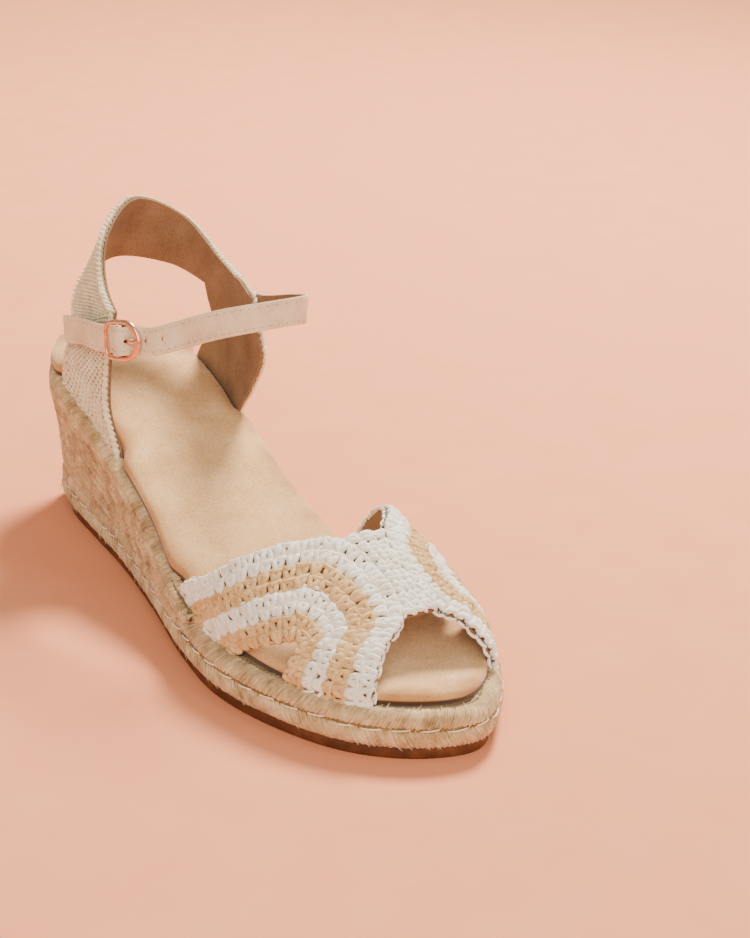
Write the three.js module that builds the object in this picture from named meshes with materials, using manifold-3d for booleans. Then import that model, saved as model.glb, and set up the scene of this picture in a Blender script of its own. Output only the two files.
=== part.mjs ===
// Espadrille wedge sandal for the right foot, size EU 37-38, in millimetres.
// +X is the medial (big toe) side, -Y is the toe, +Z is up, and the outsole stands on Z = 0.
// The origin is under the middle of the sandal's bounding box.
// "s" is the distance forward from the back of the footbed, and "u" runs once round an outline,
// from the back of the heel along the lateral side to the toe and back along the medial side.

import * as THREE from 'three';
import { mergeVertices } from 'three/addons/utils/BufferGeometryUtils.js';
import Module from 'manifold-3d';

const wasm = await Module();
wasm.setup();

// ---------------------------------------------------------------- driving dimensions
const HEEL_Y = 125.35;         // y of s = 0
const CENTRE_X = 1.24;         // shift that puts the bounding box's middle on x = 0
const OUTSOLE_THICK = 4.9;
const FOXING_TOP = 16.5;       // top of the stitched jute braid that runs all round
const HEEL_EDGE = 62;          // footbed edge height at the heel
const BRAID_ROWS = 5;          // jute braids stacked round the wedge above the foxing
const GAP = 0.3;               // clearance between pieces that touch
const BOARD_THICK = 1.8;
const FOAM_THICK = 3.6;
const COVER_THICK = 0.8;
const MARGIN_DEPTH = 3;        // how far the uppers are tucked in beside the footbed
const FABRIC = [0.1, 1.9];     // basketweave, from the surface where it meets its lining
const LINING = [-0.9, -0.2];
const CROCHET = [0.1, 2.3];
const STRAP_WIDTH = 10.2;
const STRAP_PLY = [0.1, 0.9];
const STRAP_LINING_PLY = [-0.7, -0.2];
const HOLE_PITCH = 7.5;
const WIRE = 0.95;             // radius of the buckle frame's wire
const BAR = 0.75;              // radius of the buckle's centre bar

// footbed edge, [x, s]
const FOOTBED = [[-1, 0.5], [-17, 4.5], [-26.5, 20], [-30, 45], [-30, 75], [-31.5, 110], [-38.5, 149],
  [-40, 177], [-35.5, 204], [-24, 226], [-6.5, 239], [11, 243], [27, 233], [37.5, 214], [39.5, 187],
  [34, 156.5], [24, 122], [23, 87], [26, 57], [25, 24], [15, 6]];
// outsole edge at the floor, [x, s]
const OUTSOLE = [[-0.5, 7.5], [-14.5, 11.5], [-21.5, 28], [-24.5, 51], [-27.5, 79], [-34, 114],
  [-42.5, 150.5], [-45.5, 179], [-39, 207], [-26, 230.5], [-6.5, 245], [12.5, 248.5], [27, 237],
  [40, 217.5], [43, 188.5], [37, 156.5], [27, 121.5], [24.5, 86], [25, 58], [22.5, 30], [14, 13.5]];
const EDGE_HEIGHT = [[0, HEEL_EDGE], [20, 61.5], [50, 56], [80, 46], [110, 34], [140, 22], [165, 16.8],
  [190, 15.8], [250, 15.8]];
// vamp arch height over the footbed edge, [s, height]
const VAMP_HEIGHT = [[135, 48], [165, 41], [190, 32.5], [225, 16.5], [240, 9]];
// plan of the quarters and heel strap at two heights, [x, y from the footbed's middle]
const BAND_LOW_Z = 62;
const BAND_HIGH_Z = 125;
const BAND_LOW = [[-31.5, 35.5], [-31.5, 72], [-27, 104], [-5, 122], [21, 108], [28.5, 72], [24, 35.5]];
const BAND_HIGH = [[-25.5, 29], [-22.5, 57], [-15, 77.5], [1.5, 92.5], [24, 90], [28, 68.5], [21, 40.5]];
const BAND_RIM = [[0, 90], [0.17, 102.5], [0.33, 118.5], [0.5, 126], [0.67, 116], [0.83, 104.5], [1, 101]];
const BAND_HEM = [[0.1, 76], [0.235, 82], [0.35, 92.5], [0.5, 99.5], [0.65, 96], [0.775, 92.5], [0.9, 91]];

const BAND_Y = HEEL_Y - 120;   // the plans of the band and strap count y from the footbed's middle

const COLOURS = {
  rubber: [0x6b4330, 0.62], jute: [0xcaa678, 0.9], thread: [0xf3ead8, 0.7], cork: [0xb48a60, 0.9],
  board: [0xa98a68, 0.9], steel: [0x8d8f92, 0.4], foam: [0xe9dcc8, 0.9], suede: [0xc49f7a, 0.95],
  white: [0xf4efe6, 0.85], tan: [0xdcb88c, 0.85], weave: [0xe6d8c0, 0.9], lining: [0xa07048, 0.95],
  cream: [0xe8dccb, 0.6], rose_gold: [0xe8a383, 0.25],
};

// ---------------------------------------------------------------- numbers and outlines
// smooth curve through [x, value] knots, level beyond both ends
function knots(list) {
  const slope = list.map((k, i) => {
    const a = list[Math.max(i - 1, 0)];
    const b = list[Math.min(i + 1, list.length - 1)];
    return (b[1] - a[1]) / (b[0] - a[0]);
  });
  return (x) => {
    if (x <= list[0][0]) return list[0][1];
    const last = list.length - 1;
    if (x >= list[last][0]) return list[last][1];
    let i = 0;
    while (x > list[i + 1][0]) i++;
    const h = list[i + 1][0] - list[i][0];
    const t = (x - list[i][0]) / h;
    const t2 = t * t;
    const t3 = t2 * t;
    return list[i][1] * (2 * t3 - 3 * t2 + 1) + slope[i] * h * (t3 - 2 * t2 + t)
      + list[i + 1][1] * (3 * t2 - 2 * t3) + slope[i + 1] * h * (t3 - t2);
  };
}

const lerp = THREE.MathUtils.lerp;
const smooth = (x, a, b) => THREE.MathUtils.smoothstep(x, a, b);
const edgeHeight = knots(EDGE_HEIGHT);
const vampHeight = knots(VAMP_HEIGHT);
const rimHeight = knots(BAND_RIM);
const hemHeight = knots(BAND_HEM);

const place = (x, s, z) => new THREE.Vector3(x + CENTRE_X, HEEL_Y - s, z);

// closed curve through [x, s] points; at(u, d) is the point d outside it
function outline(points) {
  const curve = new THREE.CatmullRomCurve3(points.map(([x, s]) => new THREE.Vector3(x, s, 0)), true);
  return (u, d = 0) => {
    const v = ((u % 1) + 1) % 1;
    const p = curve.getPoint(v);
    const t = curve.getPoint((v + 0.002) % 1).sub(curve.getPoint((v + 0.998) % 1)).normalize();
    return [p.x - t.y * d, p.y + t.x * d];
  };
}
const footbedEdge = outline(FOOTBED);
const outsoleEdge = outline(OUTSOLE);

// polygon of an outline, its offset a function of s
const POLYGON_COUNT = 168;
function polygon(edge, offset, count = POLYGON_COUNT) {
  return Array.from({ length: count }, (_, i) => {
    const [, s] = edge(i / count);
    return edge(i / count, offset(s));
  });
}

// the lateral and medial x of a polygon at distance s
function span(poly, s) {
  const xs = [];
  poly.forEach(([x0, s0], i) => {
    const [x1, s1] = poly[(i + 1) % poly.length];
    if ((s0 - s) * (s1 - s) <= 0 && s0 !== s1) xs.push(lerp(x0, x1, (s - s0) / (s1 - s0)));
  });
  return [Math.min(...xs), Math.max(...xs)];
}
const reach = (poly) => [Math.min(...poly.map((p) => p[1])), Math.max(...poly.map((p) => p[1]))];

// ---------------------------------------------------------------- bodies
// closed body from triangles given as lists of corner points
function body(quads) {
  const xyz = [];
  quads.forEach((q) => {
    for (let i = 1; i + 1 < q.length; i++) {
      [q[0], q[i], q[i + 1]].forEach((p) => xyz.push(p.x, p.y, p.z));
    }
  });
  const geometry = new THREE.BufferGeometry();
  geometry.setAttribute('position', new THREE.Float32BufferAttribute(xyz, 3));
  return outwards(geometry);
}

// turns a closed body's faces outwards
function outwards(geometry) {
  const merged = mergeVertices(geometry, 1e-4);
  const index = [];
  const p = merged.attributes.position;
  const at = (i) => new THREE.Vector3().fromBufferAttribute(p, i);
  let volume = 0;
  for (let i = 0; i < merged.index.count; i += 3) {
    const [a, b, c] = [0, 1, 2].map((k) => merged.index.getX(i + k));
    if (a === b || b === c || a === c) continue;
    index.push(a, b, c);
    volume += at(a).dot(at(b).cross(at(c)));
  }
  if (volume < 0) index.reverse();
  merged.setIndex(index);
  return merged;
}

// body through a list of sections with equal numbers of points; capped unless it closes on itself
function loft(sections, closed = false) {
  const quads = [];
  const count = sections.length;
  for (let i = 0; i < (closed ? count : count - 1); i++) {
    const a = sections[i];
    const b = sections[(i + 1) % count];
    a.forEach((p, j) => {
      const k = (j + 1) % a.length;
      quads.push([p, a[k], b[k], b[j]]);
    });
  }
  if (!closed) {
    quads.push([...sections[0]].reverse());
    quads.push(sections[count - 1]);
  }
  return body(quads);
}

// sheet of even thickness on a surface P(a, b), between two distances along its normal
function sheet(surface, na, nb, [low, high]) {
  const e = 1e-3;
  const grid = [low, high].map((d) => Array.from({ length: na + 1 }, (_, i) => (
    Array.from({ length: nb + 1 }, (__, j) => {
      const a = i / na;
      const b = j / nb;
      const da = surface(Math.min(a + e, 1), b).sub(surface(Math.max(a - e, 0), b));
      const db = surface(a, Math.min(b + e, 1)).sub(surface(a, Math.max(b - e, 0)));
      return surface(a, b).addScaledVector(da.cross(db).normalize(), d);
    }))));
  const [inner, outer] = grid;
  const quads = [];
  for (let i = 0; i < na; i++) {
    for (let j = 0; j < nb; j++) {
      quads.push([outer[i][j], outer[i + 1][j], outer[i + 1][j + 1], outer[i][j + 1]]);
      quads.push([inner[i][j], inner[i][j + 1], inner[i + 1][j + 1], inner[i + 1][j]]);
    }
    quads.push([inner[i][0], inner[i + 1][0], outer[i + 1][0], outer[i][0]]);
    quads.push([outer[i][nb], outer[i + 1][nb], inner[i + 1][nb], inner[i][nb]]);
  }
  for (let j = 0; j < nb; j++) {
    quads.push([inner[0][j + 1], inner[0][j], outer[0][j], outer[0][j + 1]]);
    quads.push([inner[na][j], inner[na][j + 1], outer[na][j + 1], outer[na][j]]);
  }
  return body(quads);
}

function solid(geometry) {
  const g = geometry.index ? geometry.clone() : mergeVertices(geometry);
  const merged = mergeVertices(positionOnly(g), 1e-4);
  const vertProperties = new Float32Array(merged.attributes.position.array);
  const triVerts = new Uint32Array(merged.index.array);
  return new wasm.Manifold(new wasm.Mesh({ numProp: 3, vertProperties, triVerts }));
}

function positionOnly(geometry) {
  geometry.deleteAttribute('normal');
  geometry.deleteAttribute('uv');
  return geometry;
}

function fromSolid(result) {
  const mesh = result.getMesh();
  const geometry = new THREE.BufferGeometry();
  geometry.setAttribute('position', new THREE.Float32BufferAttribute(mesh.vertProperties, 3));
  geometry.setIndex([...mesh.triVerts]);
  return geometry;
}

const cut = (geometry, ...tools) => fromSolid(tools.reduce((a, t) => a.subtract(solid(t)), solid(geometry)));

const sandal = new THREE.Group();
function add(name, geometry, finish, parent = sandal) {
  const [color, roughness] = COLOURS[finish];
  const metalness = ['steel', 'rose_gold'].includes(finish) ? 1 : 0;
  const shaded = geometry.index ? geometry.toNonIndexed() : geometry;
  shaded.computeVertexNormals();
  const mesh = new THREE.Mesh(shaded, new THREE.MeshStandardMaterial({ color, roughness, metalness }));
  mesh.name = name;
  parent.add(mesh);
  return mesh;
}

// ---------------------------------------------------------------- sole
// offsets from the footbed edge: the top braid lies flush at the heel and leaves room for the
// uppers' lasting margins from the quarters forward
const braidOuter = (s) => lerp(1, 5.4, smooth(s, 10, 34));
const braidInner = (s) => lerp(-2.4, 3.3, smooth(s, 10, 34));
const coreEdge = (s) => Math.min(braidInner(s) - 1.8, -1);
const FOXING_PROUD = 1.5;       // how far the foxing stands out past the outsole
const FOXING_DEPTH = 3;         // how far it reaches in over the outsole
const CORE_INSIDE_OUTSOLE = 4;
const FOREPART = [110, 160];    // s over which the wedge runs out into the flat forepart
const RING = 64;               // stations round the sandal

// outer and inner faces of the jute wrapping at outline position u and height z
function wrapOuter(u, z) {
  const [, st] = footbedEdge(u);
  const top = footbedEdge(u, braidOuter(st));
  const low = outsoleEdge(u, FOXING_PROUD);
  const q = THREE.MathUtils.clamp((z - FOXING_TOP) / Math.max(edgeHeight(st) - FOXING_TOP, 4), 0, 1);
  return [lerp(low[0], top[0], q), lerp(low[1], top[1], q)];
}
function wrapInner(u, z) {
  const [, st] = footbedEdge(u);
  const top = footbedEdge(u, braidInner(st));
  const tight = outsoleEdge(u, -FOXING_DEPTH);
  const w = smooth(st, ...FOREPART);
  const low = [lerp(tight[0], top[0], w), lerp(tight[1], top[1], w)];
  const q = (z - OUTSOLE_THICK) / (edgeHeight(st) - OUTSOLE_THICK);
  return [lerp(low[0], top[0], q), lerp(low[1], top[1], q)];
}

function outsole() {
  const shape = new THREE.Shape(polygon(outsoleEdge, () => -0.9, RING).map(([x, s]) => (
    new THREE.Vector2(x + CENTRE_X, HEEL_Y - s))));
  const bevel = 0.9;
  const geometry = new THREE.ExtrudeGeometry(shape, {
    depth: OUTSOLE_THICK - 2 * bevel, bevelEnabled: true, bevelThickness: bevel, bevelSize: bevel,
    bevelSegments: 1, steps: 1,
  });
  return outwards(positionOnly(geometry.translate(0, 0, bevel)));
}

function foxingSection(u) {
  const bottom = OUTSOLE_THICK + GAP;
  const middle = (bottom + FOXING_TOP) / 2;
  const [xo, so] = outsoleEdge(u, FOXING_PROUD);
  const [xb, sb] = outsoleEdge(u, FOXING_PROUD - 1);
  const [xm, sm] = outsoleEdge(u, FOXING_PROUD - 0.7);
  const [x1, s1] = wrapInner(u, FOXING_TOP);
  const [x0, s0] = wrapInner(u, bottom);
  return [place(xb, sb, bottom), place(xo, so, bottom + 2), place(xo, so, middle - 0.6),
    place(xm, sm, middle), place(xo, so, middle + 0.6), place(xo, so, FOXING_TOP - 2),
    place(xb, sb, FOXING_TOP), place(x1, s1, FOXING_TOP), place(x0, s0, bottom)];
}

function foxingThread() {
  const bottom = OUTSOLE_THICK + GAP;
  const middle = (bottom + FOXING_TOP) / 2;
  return loft(Array.from({ length: RING }, (_, i) => [[-0.25, 0.4], [0.5, 0], [-0.25, -0.4]]
    .map(([d, dz]) => {
      const [x, s] = outsoleEdge(i / RING, FOXING_PROUD + 0.15 + d);
      return place(x, s, middle + dz);
    })), true);
}

// one braid of the stack, from where it leaves the foxing on the medial side round the heel
function braidRow(row) {
  const pitch = (HEEL_EDGE - FOXING_TOP - GAP) / BRAID_ROWS;
  const topAt = (u) => edgeHeight(footbedEdge(u)[1]) - (row - 1) * pitch;
  const least = 3;
  let ul = 0.03;
  while (topAt(ul) > FOXING_TOP + least && ul < 0.4) ul += 0.002;
  let um = 0.03;
  while (topAt(-um) > FOXING_TOP + least && um < 0.4) um += 0.002;
  const count = Math.round((ul + um) * RING);
  const sections = Array.from({ length: count + 1 }, (_, i) => {
    const u = lerp(-um, ul, i / count);
    const high = topAt(u) - GAP / 2;
    const low = Math.max(topAt(u) - pitch + GAP / 2, FOXING_TOP + GAP);
    const bulge = 0.5;
    const [xm, sm] = wrapOuter(u, (low + high) / 2);
    const [xi, si] = wrapInner(u, (low + high) / 2);
    const out = new THREE.Vector2(xm - xi, sm - si).normalize();
    const point = ([x, s], z, d) => place(x + out.x * d, s + out.y * d, z);
    return [point(wrapInner(u, low), low, 0), point(wrapOuter(u, low), low, -0.6),
      point(wrapOuter(u, (low + high) / 2), (low + high) / 2, bulge),
      point(wrapOuter(u, high), high, -0.6), point(wrapInner(u, high), high, 0)];
  });
  return loft(sections);
}

// block between a lower and an upper outline, cut in stations from heel to toe
function block(lowPoly, lowZ, highPoly, highZ, { stations = 30, round = 0, crown = 0 } = {}) {
  const [l0, l1] = reach(lowPoly);
  const [h0, h1] = reach(highPoly);
  const sections = [];
  for (let i = 0; i <= stations; i++) {
    const f = lerp(0.004, 0.996, (1 - Math.cos(Math.PI * i / stations)) / 2);
    const sl = lerp(l0, l1, f);
    const sh = lerp(h0, h1, f);
    const [a0, a1] = span(lowPoly, sl);
    const [b0, b1] = span(highPoly, sh);
    const r = Math.min(round, (b1 - b0) / 6);
    const middle = (b0 + b1) / 2;
    sections.push([place(a0, sl, lowZ(sl)), place(b0, sh, highZ(sh) - round),
      place(b0 + r, sh, highZ(sh)), place(middle, sh, highZ(sh) + crown),
      place(b1 - r, sh, highZ(sh)), place(b1, sh, highZ(sh) - round), place(a1, sl, lowZ(sl))]);
  }
  return loft(sections);
}

const atEdge = (rise) => (s) => edgeHeight(s) + rise;
const boardPoly = polygon(footbedEdge, coreEdge);
// the footbed keeps clear of the lasting margins, and reaches out over the jute between them
const footbedReach = (s) => lerp(-1, 2.6, smooth(s, 84, 94) * (1 - smooth(s, 128, 138)));
const coverPoly = polygon(footbedEdge, footbedReach);
const foamPoly = polygon(footbedEdge, (s) => footbedReach(s) - COVER_THICK - GAP);
const cavityPoly = polygon(footbedEdge, (s) => footbedReach(s) - COVER_THICK);
const CORE_TOP = -BOARD_THICK - 0.2 - GAP;

// bottom outline of the core, inside the foxing
const corePoly = Array.from({ length: POLYGON_COUNT }, (_, i) => {
  const u = i / POLYGON_COUNT;
  const [, s] = footbedEdge(u);
  const [xc, sc] = footbedEdge(u, coreEdge(s));
  const [xo, so] = outsoleEdge(u, -CORE_INSIDE_OUTSOLE);
  const w = smooth(s, ...FOREPART);
  return [lerp(xo, xc, w), lerp(so, sc, w)];
});

const SHANK = { length: 110, width: 12, thick: 1.6, start: 48, x: -4 };
function shank(grow = 0) {
  const low = -BOARD_THICK - 0.2 - GAP - SHANK.thick;
  const count = 14;
  return loft(Array.from({ length: count + 1 }, (_, i) => {
    const s = lerp(SHANK.start - grow, SHANK.start + SHANK.length + grow, i / count);
    const half = SHANK.width / 2 + grow;
    const z0 = edgeHeight(s) + low - grow;
    const z1 = edgeHeight(s) + low + SHANK.thick - GAP + (grow ? 3 : 0);
    const [left, right] = [SHANK.x - half, SHANK.x + half];
    return [place(left, s, z0), place(right, s, z0), place(right, s, z1), place(left, s, z1)];
  }));
}

function sole() {
  add('outsole', outsole(), 'rubber');
  add('foxing_braid', loft(Array.from({ length: RING }, (_, i) => foxingSection(i / RING)), true), 'jute');
  add('foxing_thread', foxingThread(), 'thread');
  for (let row = 1; row <= BRAID_ROWS; row++) add(`wedge_braid_${row}`, braidRow(row), 'jute');
  const core = block(corePoly, () => OUTSOLE_THICK + GAP, boardPoly, atEdge(CORE_TOP));
  add('wedge_core', cut(core, shank(GAP)), 'cork');
  add('shank', shank(), 'steel');
  add('insole_board', block(boardPoly, atEdge(-BOARD_THICK - 0.2), boardPoly, atEdge(-0.2)), 'board');
  const rise = 0.2;
  const foamTop = rise + FOAM_THICK;
  const crown = 0.4;
  const foam = block(foamPoly, atEdge(rise), foamPoly, atEdge(foamTop), { round: 1.4, crown });
  const [below, above] = [atEdge(rise - 3), atEdge(foamTop + GAP)];
  const cavity = block(cavityPoly, below, cavityPoly, above, { round: 1.2, crown });
  const coverTop = atEdge(foamTop + GAP + COVER_THICK);
  const cover = block(coverPoly, atEdge(rise), coverPoly, coverTop, { round: 2, crown });
  add('footbed_foam', foam, 'foam');
  add('footbed_cover', cut(cover, cavity), 'suede');
}

// ---------------------------------------------------------------- vamp
const footPoly = polygon(footbedEdge, () => 0.5);

// point of the vamp's arch: angle from the lateral foot (0) over the instep to the medial foot (PI);
// angles outside that are the lasting margins, which run straight down
function arch(angle, s) {
  const [xl, xm] = span(footPoly, s);
  const phi = THREE.MathUtils.clamp(angle, 0, Math.PI);
  const under = Math.max(-angle, angle - Math.PI, 0);
  const rise = vampHeight(s) * Math.sin(phi) ** 0.84 * (1 - 0.24 * Math.cos(phi));
  return place(lerp(xl, xm, (1 - Math.cos(phi)) / 2), s, edgeHeight(s) + rise - under * 10);
}

const MARGIN = MARGIN_DEPTH / 10;
// edges of one half, [angle, s]: the lateral half, and the medial half seen in its mirror
const HALVES = {
  lateral: {
    outer: [[-MARGIN, 141], [0, 142], [0.37, 156], [0.73, 164.5], [1.0, 170.5], [1.27, 176.5], [1.5, 182.5],
      [1.62, 200], [1.5, 216.5], [1.16, 222], [0.8, 227], [0.45, 230], [0, 231.5], [-MARGIN, 231.5]],
    inner: [[-MARGIN, 182], [0, 183], [0.15, 188], [0.28, 193], [0.4, 197], [0.52, 200.5], [0.57, 202.5],
      [0.58, 203.5], [0.56, 204.5], [0.46, 204.8], [0.34, 205], [0.2, 205], [0, 205], [-MARGIN, 205]],
  },
  medial: {
    outer: [[-MARGIN, 144], [0, 145.5], [0.22, 149.3], [0.48, 158], [0.74, 167.5], [1.0, 177], [1.2, 184.5],
      [1.32, 200], [1.22, 217], [1.0, 221], [0.74, 226], [0.42, 229], [0, 229.5], [-MARGIN, 229.5]],
    inner: [[-MARGIN, 182], [0, 183], [0.15, 188], [0.28, 193], [0.38, 196.5], [0.48, 199.5], [0.52, 201],
      [0.53, 202], [0.51, 203], [0.43, 203.5], [0.32, 204], [0.2, 204], [0, 204], [-MARGIN, 204]],
  },
};

const ARC = 25;                // weighs angle against s, so that curves through [angle, s] stay even
const MIRROR = { lateral: (angle) => angle, medial: (angle) => Math.PI - angle };
const halfEdge = (list) => new THREE.CatmullRomCurve3(list.map(([t, s]) => new THREE.Vector3(t * ARC, s, 0)));

// surface of one half: a goes from its back foot round to its front foot, b from the cut-out outwards
function half(side) {
  const outer = halfEdge(HALVES[side].outer);
  const inner = halfEdge(HALVES[side].inner);
  return (a, b) => {
    const p = inner.getPoint(a).lerp(outer.getPoint(a), b);
    return arch(MIRROR[side](p.x / ARC), p.y);
  };
}

// the strip over the instep that joins the halves between their inmost points
const BRIDGE = { back: 6 / 13, front: 8 / 13, gap: 0.013 };
function bridge(a, b) {
  const [l, m] = ['lateral', 'medial'].map((side) => {
    const p = halfEdge(HALVES[side].outer).getPoint(lerp(BRIDGE.front, BRIDGE.back, b));
    return [MIRROR[side](p.x / ARC), p.y];
  });
  return arch(lerp(l[0] + BRIDGE.gap, m[0] - BRIDGE.gap, a), lerp(l[1], m[1], a));
}

// the same surface with a counted the other way, so that its normal points out
const flip = (surface) => (a, b) => surface(1 - a, b);

function vamp() {
  add('vamp_crochet_lateral', sheet(half('lateral'), 26, 4, CROCHET), 'white');
  add('vamp_crochet_medial', sheet(flip(half('medial')), 26, 4, CROCHET), 'white');
  add('vamp_crochet_bridge', sheet(bridge, 3, 6, CROCHET), 'white');
  add('vamp_lining_bridge', sheet(bridge, 3, 6, LINING), 'lining');
  add('vamp_lining_lateral', sheet(half('lateral'), 26, 4, LINING), 'lining');
  add('vamp_lining_medial', sheet(flip(half('medial')), 26, 4, LINING), 'lining');
}

// ---------------------------------------------------------------- quarters and heel strap
// point of the band: t from the lateral front (0) round the heel (0.5) to the medial front (1)
const bandCurve = (list) => new THREE.CatmullRomCurve3(list.map(([x, y]) => new THREE.Vector3(x, y, 0)));
const bandLow = bandCurve(BAND_LOW);
const bandHigh = bandCurve(BAND_HIGH);
const BAND_LENGTH = 220;        // mm that one unit of t is worth past the ends
function band(t, z) {
  const q = (z - BAND_LOW_Z) / (BAND_HIGH_Z - BAND_LOW_Z);
  const along = THREE.MathUtils.clamp(t, 0, 1);
  const p = bandLow.getPoint(along).lerp(bandHigh.getPoint(along), q);
  const past = Math.max(-t, t - 1, 0) * BAND_LENGTH;
  return new THREE.Vector3(p.x + CENTRE_X, p.y + BAND_Y - past, z);
}

// surface through a net of points: rows of equal length, smooth both ways
function net(rows) {
  const curves = rows.map((row) => new THREE.CatmullRomCurve3(row));
  return (a, b) => new THREE.CatmullRomCurve3(curves.map((c) => c.getPoint(a))).getPoint(b);
}

// heel strap: a from the lateral seam round the heel to the medial seam, b from its hem to its rim;
// both seams slant, so that its ends lie over the tops of the legs
const SEAM = { lateralHem: 0.235, lateralRim: 0.105, medialHem: 0.775, medialRim: 0.9, gap: 0.003 };
function heelStrap(a, b) {
  const start = lerp(SEAM.lateralHem, SEAM.lateralRim, b) + SEAM.gap;
  const end = lerp(SEAM.medialHem, SEAM.medialRim, b) - SEAM.gap;
  const t = lerp(start, end, a);
  return band(t, lerp(hemHeight(t), rimHeight(t), b));
}
// point on the seam itself, on the leg's side of it
function seam(side, b) {
  const t = lerp(SEAM[`${side}Hem`], SEAM[`${side}Rim`], b);
  return band(t + (side === 'lateral' ? -SEAM.gap : SEAM.gap), lerp(hemHeight(t), rimHeight(t), b));
}

// footing of a leg on the footbed edge, from its front to its rear
function footing(side, front, rear, drop) {
  return [0, 1 / 3, 2 / 3, 1].map((f) => {
    const s = lerp(front, rear, f);
    const [xl, xm] = span(footPoly, s);
    return place(side === 'lateral' ? xl : xm, s, edgeHeight(s) - drop);
  });
}

// legs, front to rear across and foot to seam upwards
const LATERAL_LEG = net([
  footing('lateral', 81, 36, MARGIN_DEPTH),
  footing('lateral', 81, 36, -1),
  [band(0.05, 62), band(0.115, 66), band(0.18, 70), band(0.24, 73)],
  [band(0.075, 75), band(0.13, 77), band(0.185, 78), band(0.238, 78)],
  [band(0.09, 86), band(0.14, 85), band(0.19, 82.5), band(0.236, 80)],
  [seam('lateral', 1), seam('lateral', 2 / 3), seam('lateral', 1 / 3), seam('lateral', 0)],
]);
const MEDIAL_LEG = net([
  footing('medial', 71, 36, MARGIN_DEPTH),
  footing('medial', 71, 36, -1),
  [band(0.985, 65), band(0.92, 69), band(0.855, 72), band(0.8, 73)],
  [band(1.025, 80), band(0.95, 81), band(0.88, 81), band(0.81, 81)],
  [band(1.01, 91), band(0.93, 92), band(0.86, 90), band(0.79, 87.5)],
  [band(0.99, rimHeight(0.99)), seam('medial', 1), seam('medial', 0.5), seam('medial', 0)],
]);

function quarters() {
  add('quarter_lateral', sheet(flip(LATERAL_LEG), 6, 10, FABRIC), 'weave');
  add('quarter_lateral_lining', sheet(flip(LATERAL_LEG), 6, 10, LINING), 'lining');
  add('quarter_medial', sheet(MEDIAL_LEG, 6, 10, FABRIC), 'weave');
  add('quarter_medial_lining', sheet(MEDIAL_LEG, 6, 10, LINING), 'lining');
  add('heel_strap', sheet(flip(heelStrap), 24, 3, FABRIC), 'weave');
  add('heel_strap_lining', sheet(flip(heelStrap), 24, 3, LINING), 'lining');
}

// ---------------------------------------------------------------- ankle strap and buckle
const at = (x, y, z) => new THREE.Vector3(x + CENTRE_X, y + BAND_Y, z);

// point on the band moved out from it by d
function offBand(t, z, d) {
  const e = 0.01;
  const along = band(t + e, z).sub(band(t - e, z));
  const up = band(t, z + 1).sub(band(t, z - 1));
  return band(t, z).addScaledVector(up.cross(along).normalize(), d);
}

// buckle frame: origin on the centre bar, x forward along the strap, y up the bar, z outwards
const BUCKLE_AT = at(-30.6, 39.2, 91.5);
const forward = new THREE.Vector3(0.36, -0.91, 0.2).normalize();
const outwardGuess = new THREE.Vector3(-0.93, -0.33, 0.12);
const barUp = outwardGuess.clone().cross(forward).normalize();
const outward = forward.clone().cross(barUp).normalize();
const buckleMatrix = new THREE.Matrix4().makeBasis(forward, barUp, outward).setPosition(BUCKLE_AT);
const onBuckle = (f, n) => new THREE.Vector3(f, 0, n).applyMatrix4(buckleMatrix);

// flat ribbon along a curve, its width upright apart from a lean inwards at the top
function ribbon(curve, width, [low, high], steps, lean) {
  const sections = Array.from({ length: steps + 1 }, (_, i) => {
    const t = i / steps;
    const p = curve.getPointAt(t);
    const along = curve.getTangentAt(t);
    const up = lean(t, along);
    const out = along.clone().cross(up).normalize();
    const w = width / 2;
    return [[-w, low], [w, low], [w, high], [-w, high]].map(([a, d]) => (
      p.clone().addScaledVector(up, a).addScaledVector(out, d)));
  });
  return loft(sections);
}

const BEND = 7.8;              // where the strap dips under the sides of the buckle frame
const STRAP_PATH = new THREE.CatmullRomCurve3([
  offBand(0.235, 81.7, 6.2), offBand(0.195, 83.8, 5.8), offBand(0.155, 86, 5.5), onBuckle(-12.5, -1.9),
  onBuckle(-BEND, -1.3), onBuckle(-4.2, -0.6), onBuckle(-2.9, 1), onBuckle(-1.7, 2.5), onBuckle(0, 3.1),
  onBuckle(1.7, 2.5), onBuckle(2.9, 1), onBuckle(4.2, -0.6), onBuckle(BEND, -1.3), onBuckle(12, -1.5),
  at(-19.5, 20.5, 98.1), at(-12.5, 6, 106), at(-2.5, -5, 111.2), at(10, -8.4, 112.9), at(21, 2.2, 108.6),
  at(28.5, 21, 101.8), offBand(1, 96, 4.3), offBand(0.93, 93.4, 3.6), offBand(0.87, 92.4, 3.4),
]);
const STRAP_STEPS = 72;

// upright direction across the ribbon, along the bar of the buckle near it
function strapLean(t, along) {
  const near = Math.exp(-((t - 0.22) ** 2) / 0.02);
  const up = new THREE.Vector3(0, 0, 1).lerp(barUp, near);
  return up.addScaledVector(along, -up.dot(along)).normalize();
}

// length along the strap's curve nearest to a point, as a fraction
function nearest(curve, point) {
  let best = 0;
  for (let i = 0; i <= 800; i++) {
    const t = i / 800;
    if (curve.getPointAt(t).distanceTo(point) < curve.getPointAt(best).distanceTo(point)) best = t;
  }
  return best;
}

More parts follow.
